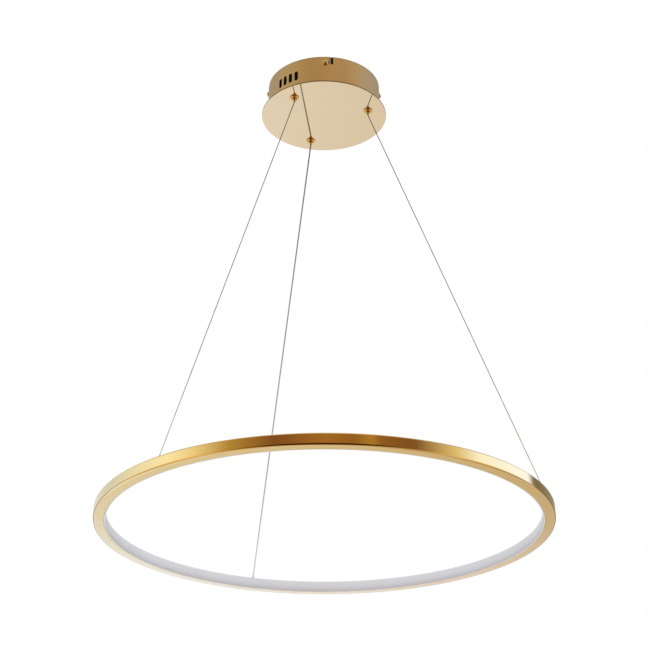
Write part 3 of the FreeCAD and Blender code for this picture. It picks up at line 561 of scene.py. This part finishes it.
def tubeMesh(points, radius, corners=12):
    # A round tube along points, with its frame carried along the line
    vertices, faces = [], []
    tangents = []
    for index, point in enumerate(points):
        ahead = points[min(index + 1, len(points) - 1)] - points[max(index - 1, 0)]
        tangents.append(ahead.normalized())
    side = tangents[0].orthogonal().normalized()
    for index, point in enumerate(points):
        if index:
            side = tangents[index - 1].rotation_difference(tangents[index]) @ side
        up = tangents[index].cross(side).normalized()
        for corner in range(corners):
            angle = 2 * math.pi * corner / corners
            vertices.append(point + side * radius * math.cos(angle) + up * radius * math.sin(angle))
    for index in range(len(points) - 1):
        for corner in range(corners):
            after = (corner + 1) % corners
            a, b = index * corners, (index + 1) * corners
            faces.append([a + corner, a + after, b + after, b + corner])
    faces.append(list(range(corners))[::-1])
    faces.append([(len(points) - 1) * corners + corner for corner in range(corners)])
    return vertices, faces


def joined(meshes):
    vertices, faces = [], []
    for someVertices, someFaces in meshes:
        base = len(vertices)
        vertices += list(someVertices)
        faces += [[base + index for index in face] for face in someFaces]
    return vertices, faces


def prism(outline, place):
    # An outline of (u, v) points raised between two places by place(u, v, end)
    count = len(outline)
    vertices = [place(u, v, end) for end in (0, 1) for u, v in outline]
    faces = [list(range(count))[::-1], list(range(count, 2 * count))]
    faces += [[i, (i + 1) % count, count + (i + 1) % count, count + i] for i in range(count)]
    return vertices, faces


def cut(piece, cutters):
    # Takes the cutters away from the piece and leaves a plain mesh
    tool = newPiece("cutter", *joined(cutters), weighted=False)
    fixNormals(tool)
    fixNormals(piece)
    modifier = piece.modifiers.new("cut", "BOOLEAN")
    modifier.operation = "DIFFERENCE"
    modifier.solver = "EXACT"
    modifier.object = tool
    bpy.context.view_layer.update()
    mesh = bpy.data.meshes.new_from_object(piece.evaluated_get(bpy.context.evaluated_depsgraph_get()))
    piece.modifiers.remove(modifier)
    old = piece.data
    piece.data = mesh
    bpy.data.meshes.remove(old)
    bpy.data.objects.remove(tool)
    if len(mesh.polygons) < 10:
        raise ValueError("nothing is left of " + piece.name)


def slotOutline(halfLength, halfWidth, steps=12):
    points = []
    for end, base in ((1, -90), (-1, 90)):
        for step in range(steps + 1):
            angle = math.radians(base + 180 * step / steps)
            points.append((end * (halfLength - halfWidth) + halfWidth * math.cos(angle), halfWidth * math.sin(angle)))
    return points


def holeCutter(middle, radius, low, high, steps=12):
    # A round hole is a slot of almost no length
    outline = slotOutline(radius + 1e-4, radius, steps)
    return prism(outline, lambda u, v, end: Vector((middle.x + u, middle.y + v, high if end else low)))


def threadRows(radius, low, high, pitch, rowsPerTurn=8):
    count = int((high - low) / pitch * rowsPerTurn)
    return [Vector((radius, low + (high - low) * row / count)) for row in range(count + 1)]


def threadWave(radius, low, high, pitch, depth):
    # The groove winds round a shank and fades out at both ends
    def wave(reach, height, turn):
        if abs(reach - radius) > 1e-6 or height < low or height > high:
            return reach
        phase = ((height - low) / pitch - turn) % 1.0
        groove = min(max(abs(2 * phase - 1) * 1.5 - 0.3, 0.0), 1.0)
        fade = min((height - low) / pitch, (high - height) / pitch, 1.0)
        return reach - depth * groove * fade
    return wave


# Ropes: two of stranded steel, and the one that carries the current in a smooth sheath
ropes = {
    "left": {"node": "rope_left", "tail": "rope_tail_left", "wire": 0.2, "lay": 9.0, "diameter": 1.2},
    "right": {"node": "rope_right", "tail": "rope_tail_right", "wire": 0.2, "lay": 9.0, "diameter": 1.2},
    "power": {"node": "power_cable", "tail": None, "wire": None, "lay": None, "diameter": 2.0},
}
ropeGap = 0.3            # between a rope's end and the mouth it enters


def routeLine(corners):
    # The smooth line of a route, as Blender's own NURBS gives it
    curve = bpy.data.curves.new("route", "CURVE")
    curve.dimensions = "3D"
    spline = curve.splines.new("NURBS")
    spline.points.add(len(corners) - 1)
    for point, corner in zip(spline.points, corners):
        point.co = (*corner, 1.0)
    spline.order_u = min(3, len(corners))
    spline.use_endpoint_u = True
    spline.resolution_u = 12
    carrier = bpy.data.objects.new("route", curve)
    line = bpy.data.meshes.new_from_object(carrier)
    points = [v.co.copy() for v in line.vertices]
    bpy.data.meshes.remove(line)
    bpy.data.objects.remove(carrier)
    bpy.data.curves.remove(curve)
    return points


def strandedMesh(start, end, wire, lay, corners=8, perTurn=12, outer=6):
    # Six wires laid round a straight middle one
    run = end - start
    along = run.normalized()
    side = along.orthogonal().normalized()
    up = along.cross(side)
    turns = run.length / lay
    count = int(turns * perTurn)
    wires = [tubeMesh([start, end], wire, corners)]
    for index in range(outer):
        points = []
        for step in range(count + 1):
            angle = 2 * math.pi * (index / outer + turns * step / count)
            points.append(start + run * step / count + (side * math.cos(angle) + up * math.sin(angle)) * 2 * wire)
        wires.append(tubeMesh(points, wire, corners))
    return joined(wires)


def makeRope(side):
    spec = ropes[side]
    start = Vector((*gripperPlaces[side].xy, gripperMouth - ropeGap))
    end = Vector((*nipplePlaces[side].xy, nippleMouth + ropeGap))
    line = routeLine([start, end])
    if spec["wire"]:
        shape = strandedMesh(line[0], line[-1], spec["wire"], spec["lay"])
    else:
        shape = tubeMesh(line, spec["diameter"] / 2, 20)
    rope = settle(newPiece(side + "Rope", *shape, weighted=False), spec["node"])
    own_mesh(rope)


def makeRopeTail(side):
    spec = ropes[side]
    place = gripperPlaces[side].xy
    low, high = Vector((*place, lowOf(spec["tail"]))), Vector((*place, highOf(spec["tail"])))
    tail = strandedMesh(low, high, spec["wire"], spec["lay"])
    settle(newPiece(side + "RopeTail", *tail, weighted=False), spec["tail"])


for side in sides:
    makeRope(side)
    if ropes[side]["tail"]:
        makeRopeTail(side)
print("ropes are strung")


# Ring: the channel, and the opal band that covers its mouth
ring = {
    "outer": 300.0, "wall": 1.6, "flange": 1.2, "edge": 1.5, "lowEdge": 2.4, "flangeEnd": 286.15, "lip": 0.15,
    "grooveStart": 287.15, "grooveWidth": 1.2, "grooveDepth": 0.35, "seamAzimuth": -148.0, "seamGap": 0.2,
    "steps": 720,
}
band = {
    "face": opalFace, "thickness": 1.8, "edge": 0.5, "leg": 2.4, "legThickness": 1.0, "play": 0.15,
    "bead": 0.35, "beadWidth": 0.9,
}


def makeRingProfile():
    low, high = ringBottom + ring["flange"], ringTop - ring["flange"]
    wall, end = ring["outer"] - ring["wall"], ring["flangeEnd"]
    near, far = ring["grooveStart"], ring["grooveStart"] + ring["grooveWidth"]
    depth = ring["grooveDepth"]
    section = rounded([
        (end, ringBottom, ring["lip"]), (ring["outer"], ringBottom, ring["lowEdge"]),
        (ring["outer"], ringTop, ring["edge"]), (end, ringTop, ring["lip"]), (end, high),
        (near, high), (near, high + depth), (far, high + depth), (far, high), (wall, high, 0.4), (wall, low, 0.4),
        (far, low), (far, low - depth), (near, low - depth), (near, low), (end, low)], steps=6)
    seam = math.degrees(ring["seamGap"] / ring["outer"])    # the two ends of the bent profile meet here
    shape = latheMesh(section, ring["steps"], ring["seamAzimuth"] + seam / 2, 360.0 - seam)
    settle(newPiece("ringProfile", *shape), "ring_profile")


def makeDiffuser():
    face, back = band["face"], band["face"] + band["thickness"]
    legEnd = back + band["leg"]
    legStart = legEnd - band["beadWidth"]
    low, high = ringBottom + ring["flange"] + band["play"], ringTop - ring["flange"] - band["play"]
    leg, bead, edge = band["legThickness"], band["bead"], band["edge"]
    section = rounded([
        (face, ringBottom, edge), (back, ringBottom, 0.1), (back, low), (legStart, low), (legStart, low - bead),
        (legEnd, low - bead), (legEnd, low + leg), (back, low + leg, 0.3), (back, high - leg, 0.3),
        (legEnd, high - leg), (legEnd, high + bead), (legStart, high + bead), (legStart, high), (back, high),
        (back, ringTop, 0.1), (face, ringTop, edge)])
    settle(newPiece("diffuserBand", *latheMesh(section, ring["steps"])), "diffuser")


nipple = {
    "thread": 2.0, "threadEnd": 4.2, "base": 2.3, "baseHeight": 0.9, "taper": 0.2, "neck": 0.1, "neckHeight": 0.45,
    "top": {"left": 1.3, "power": 1.75, "right": 1.3}, "play": 0.15, "steps": 64,
}


def makeNipple(side):
    bore = ropes[side]["diameter"] / 2 + nipple["play"]
    top, base = nipple["top"][side], nipple["base"]
    shoulder = ringTop + nipple["baseHeight"]
    low = ringTop - nipple["threadEnd"]
    foot, neck = top + nipple["taper"] + nipple["neck"], top + nipple["taper"] - nipple["neck"]
    section = rounded([
        (bore, low), (nipple["thread"], low, 0.25), (nipple["thread"], ringTop), (base, ringTop, 0.08),
        (base, shoulder, 0.2), (foot, shoulder, 0.1), (neck, shoulder + nipple["neckHeight"]),
        (top, nippleMouth, 0.25), (bore, nippleMouth, 0.12)], steps=4)
    shape = moved(latheMesh(section, nipple["steps"]), (*nipplePlaces[side].xy, 0.0))
    settle(newPiece(side + "Nipple", *shape), "nipple_" + side)


makeRingProfile()
makeDiffuser()
for side in sides:
    makeNipple(side)
print("ring is turned")


# Canopy: drum with vents and bayonet slots, and the polished plate under it
drum = {
    "outer": 82.5, "sheet": 1.0, "bend": 1.2, "flange": 6.6, "rimGap": 0.5, "steps": 360,
    "ventAzimuths": (-51.8, -44.8, -37.8, -30.8), "ventWidth": 6.0, "ventHeight": 15.6, "ventDepth": 26.8,
    "slotFoot": 2.3, "slotMiddle": 8.5, "slotWidth": 5.8, "screwDepth": 11.0, "corner": 1.5, "innerCorner": 0.8,
    "studCircle": 78.0, "studAzimuths": (33.0, 123.0, 213.0, 303.0), "studHole": 1.55,
    "cutInside": 5.0, "cutReach": 9.0,    # where the wall's cutters start inside it, and how far they go
}
plate = {"radius": 92.0, "edge": 0.7, "hole": 5.05, "steps": 288}


def wallPlace(azimuth):
    # A cutter's outline stands on the drum's wall at an azimuth, u along the wall and v up
    turn = Matrix.Rotation(math.radians(azimuth), 3, "Z")
    return lambda u, v, end: turn @ Vector((u, -(drum["outer"] - drum["cutInside"] + drum["cutReach"] * end), v))


def bayonetOutline():
    # The slot comes down from the rim and turns in under the side screw
    foot, axis = drum["slotFoot"], -drum["screwDepth"]
    start, end = drum["slotMiddle"] - drum["slotWidth"] / 2, drum["slotMiddle"] + drum["slotWidth"] / 2
    return rounded([(-foot, axis - foot, foot * 0.98), (end, axis - foot, drum["corner"]), (end, 3.0), (start, 3.0),
                    (start, axis + foot, drum["innerCorner"]), (-foot, axis + foot, foot * 0.98)], steps=8)


def roundNormals(piece, bendRadius, bendHeight):
    # The drum's true normals, so that its wall reflects as one smooth sheet. Cut faces stay plain
    mesh = piece.data
    normals = [None] * len(mesh.loops)
    for face in mesh.polygons:
        centre = face.center
        radial = Vector((centre.x, centre.y, 0)).normalized()
        facing, rise = face.normal.dot(radial), face.normal.z
        plain = facing * facing + rise * rise < 0.985
        for index in face.loop_indices:
            point = mesh.vertices[mesh.loops[index].vertex_index].co
            outward = Vector((point.x, point.y, 0)).normalized()
            radius = math.hypot(point.x, point.y)
            inBend = radius > bendRadius - 1e-6 and point.z < bendHeight + 1e-6
            if plain:
                normals[index] = face.normal.copy()
            elif inBend:
                away = outward * (radius - bendRadius) + Vector((0, 0, point.z - bendHeight))
                away = away.normalized() if away.length > 1e-7 else face.normal.copy()
                normals[index] = away if away.dot(face.normal) > 0 else -away
            elif abs(facing) > 0.9:
                normals[index] = outward * (1 if facing > 0 else -1)
            else:
                normals[index] = face.normal.copy()
    mesh.normals_split_custom_set(normals)


def makeDrum():
    inner = drum["outer"] - drum["sheet"]
    top, flangeTop = -drum["rimGap"], plateTop + drum["sheet"]
    flangeEnd = inner - drum["flange"]
    section = rounded([(drum["outer"], top, 0.15), (drum["outer"], plateTop, drum["bend"]), (flangeEnd, plateTop),
                       (flangeEnd, flangeTop), (inner, flangeTop, drum["bend"] - drum["sheet"]),
                       (inner, top, 0.15)], steps=8)
    piece = newPiece("canopyDrum", *latheMesh(section, drum["steps"]), weighted=False)
    vent = [(v, u - drum["ventDepth"]) for u, v in slotOutline(drum["ventHeight"] / 2, drum["ventWidth"] / 2)]
    cutters = [prism(vent, wallPlace(azimuth)) for azimuth in drum["ventAzimuths"]]
    cutters += [prism(bayonetOutline(), wallPlace(azimuth)) for azimuth in screwAzimuths.values()]
    cutters += [holeCutter(polar(drum["studCircle"], azimuth), drum["studHole"], plateTop - 2.0, plateTop + 3.0)
                for azimuth in drum["studAzimuths"]]
    cut(piece, cutters)
    settle(piece, "canopy_wall")
    roundNormals(piece, (drum["outer"] - drum["bend"]) * mm, (plateTop + drum["bend"]) * mm)


def makePlate():
    section = rounded([(0, plateBottom), (plate["radius"], plateBottom, plate["edge"]),
                       (plate["radius"], plateTop, plate["edge"]), (0, plateTop)], closed=False, steps=8)
    piece = newPiece("canopyPlate", *latheMesh(section, plate["steps"], closed=False), weighted=False)
    cut(piece, [holeCutter(middle, plate["hole"], plateBottom - 2.0, plateBottom + 4.0, 24)
                for middle in gripperPlaces.values()])
    settle(piece, "canopy_plate")
    piece.data.set_sharp_from_angle(angle=math.radians(32))
    modifier = piece.modifiers.new("faceNormals", "WEIGHTED_NORMAL")
    modifier.keep_sharp = True


# Painted shade as dark steel: narrow pieces beside each of the bracket's tabs, and a lip over its bend, fill openings
# that show only shade
tabShadeFill = {
    "start": 8.2, "end": 10.0, "root": 73.5, "rim": 79.3, "thickness": 1.5,
    "lipHalf": 12.0, "lipStart": 78.3, "lipEnd": 81.2, "lipTop": -0.1, "lipThickness": 1.3,
}


def makeTabShadeFill():
    meshes = []
    for azimuth in screwAzimuths.values():
        turn = Matrix.Rotation(math.radians(azimuth), 3, "Z")
        root, rim = tabShadeFill["root"], tabShadeFill["rim"]
        for side in (-1, 1):
            near, far = sorted((side * tabShadeFill["start"], side * tabShadeFill["end"]))
            outline = [(near, root), (far, root), (far, rim), (near, rim)]
            meshes.append(prism(outline, lambda u, v, end: turn @ Vector((u, -v, -tabShadeFill["thickness"] * end))))
        half, near, far = tabShadeFill["lipHalf"], tabShadeFill["lipStart"], tabShadeFill["lipEnd"]
        top, deep = tabShadeFill["lipTop"], tabShadeFill["lipThickness"]
        across = [half * (1 - step / 6) for step in range(13)]
        outline = [(-half, near), (half, near)] + [(u, math.sqrt(far * far - u * u)) for u in across]
        meshes.append(prism(outline, lambda u, v, end: turn @ Vector((u, -v, top - deep * end))))
    piece = newPiece("tabShadeFill", *joined(meshes), weighted=False)
    fixNormals(piece)
    piece.data.materials.append(shadedBracketSteel)
    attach(piece, bodyOf["ceiling_bracket"])


makeDrum()
makePlate()
makeTabShadeFill()
print("canopy is spun and punched")


# Side screws: domed heads with a cross recess, threaded shanks
screw = {
    "head": 4.0, "headHeight": 2.6, "headSide": 0.8, "headGap": 0.3, "shank": 2.0, "length": 13.0,
    "point": 0.6, "plain": 1.2, "chamfer": 0.5, "rimRound": 0.15, "pitch": 0.7, "threadDepth": 0.4,
    "recessSpan": 4.4, "recessFloor": 1.8, "recessWing": 1.0, "recessDepth": 1.7, "steps": 64,
}


def domeRows(radius, low, high, steps=12):
    # A shallow dome from its rim at low up to the axis at high
    rise = high - low
    sphere = (radius * radius + rise * rise) / (2 * rise)
    half = math.asin(radius / sphere)
    turns = [half * (1 - step / steps) for step in range(steps)]
    return [Vector((sphere * math.sin(turn), high - sphere + sphere * math.cos(turn))) for turn in turns] + [
        Vector((0.0, high))]


def crossMesh(top):
    # The driver's cross, whose wings are shorter at its floor
    wide, narrow, half = screw["recessSpan"] / 2, screw["recessFloor"] / 2, screw["recessWing"] / 2
    reach = (narrow, wide + (wide - narrow) / screw["recessDepth"])
    outline = [(1, -half), (1, half), (half, half), (half, 1), (-half, 1), (-half, half),
               (-1, half), (-1, -half), (-half, -half), (-half, -1), (half, -1), (half, -half)]

    def place(u, v, end):
        grow = [reach[end] * c if abs(c) == 1 else c for c in (u, v)]
        return Vector((*grow, top + 1.0 if end else top - screw["recessDepth"]))
    return prism(outline, place)


def makeSideScrew(side):
    azimuth = screwAzimuths[side]
    seat = drum["outer"] + screw["headGap"]
    low, top = seat - screw["length"], seat + screw["headHeight"]
    shank, head, small = screw["shank"], screw["head"], screw["rimRound"]
    threadLow, threadHigh = low + screw["point"], seat - screw["plain"]
    section = [Vector((0.0, low)), Vector((shank - screw["chamfer"], low)), Vector((shank, threadLow))]
    section += threadRows(shank, threadLow, threadHigh, screw["pitch"])[1:]
    section += [Vector((shank, seat)), Vector((head - small, seat)), Vector((head, seat + small)),
                Vector((head, seat + screw["headSide"] - 0.1))]
    section += domeRows(head, seat + screw["headSide"], top)
    wave = threadWave(shank, threadLow, threadHigh, screw["pitch"], screw["threadDepth"])
    piece = newPiece(side + "Screw", *latheMesh(section, screw["steps"], closed=False, wave=wave), weighted=False)
    cut(piece, [crossMesh(top)])
    # The screw is made upright and then laid along the radius
    outward, along = polar(1.0, azimuth), polar(1.0, azimuth + 90)
    frameTurn = Matrix((along, Vector((0, 0, 1)), outward)).transposed()
    shift = Vector((0, 0, -drum["screwDepth"])) * mm
    for vertex in piece.data.vertices:
        vertex.co = frameTurn @ vertex.co + shift
    settle(piece, "side_screw_" + side)
    piece.data.set_sharp_from_angle(angle=math.radians(35))


for side in screwAzimuths:
    makeSideScrew(side)
print("side screws are driven in")


# Rope grippers: body, release plunger, cap and the coil that presses the cage down
gripper = {
    "noseBore": 1.5, "nose": 2.5, "noseDepth": 5.0, "cone": 4.0, "flange": 6.6, "flangeHeight": 1.5, "barrel": 5.0,
    "top": 14.0, "threadLow": 3.2, "chamfer": 0.5, "pitch": 1.0, "threadDepth": 0.5, "chamberWide": 3.6,
    "chamberNarrow": 2.2, "coneTop": 8.0, "chamberFloor": -1.0, "steps": 72,
}
plunger = {
    "stem": 1.45, "tip": 1.9, "tipHeight": 1.4, "shoulder": 1.85, "shoulderHeight": 0.8, "play": 0.15, "steps": 64,
}
cap = {
    "thread": 3.55, "threadLength": 2.5, "head": 4.6, "headHeight": 1.5, "play": 0.15,
    "ribs": 36, "ribDepth": 0.12, "ribLow": 0.3, "ribHigh": 1.2,
}
coil = {"radius": 2.2, "wire": 0.25, "turns": 5.5, "closed": 0.75, "low": 7.0, "high": 11.5, "travel": 1.4}


def makeGripperBody(side):
    low, high = gripper["threadLow"], gripper["top"] - gripper["chamfer"]
    barrel, bore, flange, foot = gripper["barrel"], gripper["noseBore"], gripper["flange"], -gripper["flangeHeight"]
    lower = rounded([
        (bore, -gripper["noseDepth"]), (gripper["nose"], -gripper["noseDepth"], 0.5), (gripper["cone"], foot, 0.5),
        (flange, foot, 0.5), (flange, 0.0, 0.1), (barrel, 0.0), (barrel, low)], closed=False, steps=5)
    wide, narrow, floor = gripper["chamberWide"], gripper["chamberNarrow"], gripper["chamberFloor"]
    upper = [Vector(corner) for corner in (
        (barrel - gripper["chamfer"], gripper["top"]), (wide, gripper["top"]), (wide, gripper["coneTop"]),
        (narrow, 0.0), (narrow, floor), (bore, floor))]
    section = lower + threadRows(barrel, low, high, gripper["pitch"], 6)[1:] + upper
    wave = threadWave(barrel, low, high, gripper["pitch"], gripper["threadDepth"])
    shape = moved(latheMesh(section, gripper["steps"], wave=wave), (*gripperPlaces[side].xy, plateBottom))
    settle(newPiece(side + "GripperBody", *shape), "gripper_body_" + side)


def makePlunger(side):
    bore = ropes[side]["diameter"] / 2 + plunger["play"]
    low = gripperMouth - plateBottom
    high = low + plunger["tipHeight"]
    floor = gripper["chamberFloor"]
    seat = floor + plunger["shoulderHeight"]
    section = rounded([
        (bore, low, 0.15), (plunger["tip"], low, 0.6), (plunger["tip"], high, 0.5), (plunger["stem"], high),
        (plunger["stem"], floor), (plunger["shoulder"], floor), (plunger["shoulder"], seat, 0.15),
        (bore, seat)], steps=5)
    shape = moved(latheMesh(section, plunger["steps"]), (*gripperPlaces[side].xy, plateBottom))
    settle(newPiece(side + "Plunger", *shape), "release_plunger_" + side, tipGold)


def capWave(radius, height, turn):
    # Fine ribs round the cap's head, to turn it by hand
    if radius < cap["head"] - 0.01 or not cap["ribLow"] < height - gripper["top"] < cap["ribHigh"]:
        return radius
    return radius - cap["ribDepth"] * (0.5 - 0.5 * math.cos(2 * math.pi * cap["ribs"] * turn))


def makeCaps():
    caps = []
    for side in sides:
        bore = ropes[side]["diameter"] / 2 + cap["play"]
        foot, seat = gripper["top"] - cap["threadLength"], gripper["top"]
        crown = seat + cap["headHeight"]
        section = rounded([(bore, foot), (cap["thread"], foot, 0.2), (cap["thread"], seat), (cap["head"], seat, 0.2),
                           (cap["head"], seat + 0.35), (cap["head"], crown - 0.45), (cap["head"], crown, 0.4),
                           (bore, crown, 0.2)], steps=4)
        caps.append(moved(latheMesh(section, cap["ribs"] * 6, wave=capWave), (*gripperPlaces[side].xy, plateBottom)))
    settle(newPiece("gripperCaps", *joined(caps)), "gripper_caps")


def makeCoil(side):
    # One unbroken wire, flat at its closed ends
    low, high = coil["low"] + coil["wire"], coil["high"] - coil["wire"]
    count = int(coil["turns"] * 28)
    points = []
    for step in range(count + 1):
        share = step / count
        rise = min(max((share * coil["turns"] - coil["closed"]) / (coil["turns"] - 2 * coil["closed"]), 0.0), 1.0)
        points.append(polar(coil["radius"], 360 * coil["turns"] * share, low + (high - low) * rise))
    shape = moved(tubeMesh(points, coil["wire"], 10), (*gripperPlaces[side].xy, plateBottom))
    piece = settle(newPiece(side + "Coil", *shape, weighted=False), "cage_spring_" + side)
    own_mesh(piece)


for side in sides:
    makeGripperBody(side)
    makePlunger(side)
    makeCoil(side)
makeCaps()
print("grippers are fitted")


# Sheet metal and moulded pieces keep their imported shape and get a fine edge
softEdges = {
    "ceiling_bracket": 0.2, "tab_nuts": 0.25, "earth_screw": 0.15, "supply_grommet": 0.2, "plate_nuts": 0.2,
    "lock_nuts": 0.3, "lock_washers": 0.12, "plate_studs": 0.2, "driver_case": 0.4, "terminal_block": 0.3,
    "terminal_screws": 0.2, "output_connector": 0.4, "ring_joiners": 0.2, "joiner_screws": 0.15, "nipple_nuts": 0.2,
}
for name, width in softEdges.items():
    modifier = nodes[name].modifiers.new("fineEdge", "BEVEL")
    modifier.width = width * mm
    modifier.segments = 2
    modifier.limit_method = "ANGLE"
    modifier.angle_limit = math.radians(40)
print("edges are broken")


# Floor under the lamp, far below it
floorSpec = {    # metres
    "height": -4.0, "half": 60.0, "colour": (0.93, 0.93, 0.93),
    "fadeFrom": 4.0, "fadeTo": 12.0,    # from here on it fades into the white round it
}


def makeFloor():
    half, height = floorSpec["half"] / mm, floorSpec["height"] / mm
    corners = [(-half, -half, height), (half, -half, height), (half, half, height), (-half, half, height)]
    floor = newPiece("floor", corners, [[0, 1, 2, 3]], weighted=False)
    material, tree, shader = newMaterial("floorPaint", Roughness=0.9)
    point = objectPoint(tree)
    cloud = noise(tree, point, 0.6, 3.0)
    pale = floorSpec["colour"]
    tree.links.new(blendColour(tree, cloud, tuple(c * 0.985 for c in pale), pale), shader.inputs["Base Color"])
    flat = addNode(tree, "ShaderNodeVectorMath", {0: point, 1: (1.0, 1.0, 0.0)}, operation="MULTIPLY").outputs[0]
    away = addNode(tree, "ShaderNodeVectorMath", {0: flat}, operation="LENGTH").outputs["Value"]
    fade = remap(tree, away, floorSpec["fadeFrom"], floorSpec["fadeTo"], kind="SMOOTHSTEP")
    path = addNode(tree, "ShaderNodeLightPath")
    straight = math2(tree, "ADD", path.outputs["Is Camera Ray"], path.outputs["Is Transmission Ray"], clamp=True)
    white = addNode(tree, "ShaderNodeEmission", {0: (1.0, 1.0, 1.0, 1.0), 1: 1.0})
    mixed = addNode(tree, "ShaderNodeMixShader", {0: math2(tree, "MULTIPLY", fade, straight), 1: shader.outputs[0],
                                                 2: white.outputs[0]})
    tree.links.new(mixed.outputs[0], tree.nodes["Material Output"].inputs[0])
    floor.data.materials.append(material)
    floor.visible_glossy = False


makeFloor()
print("floor is laid")
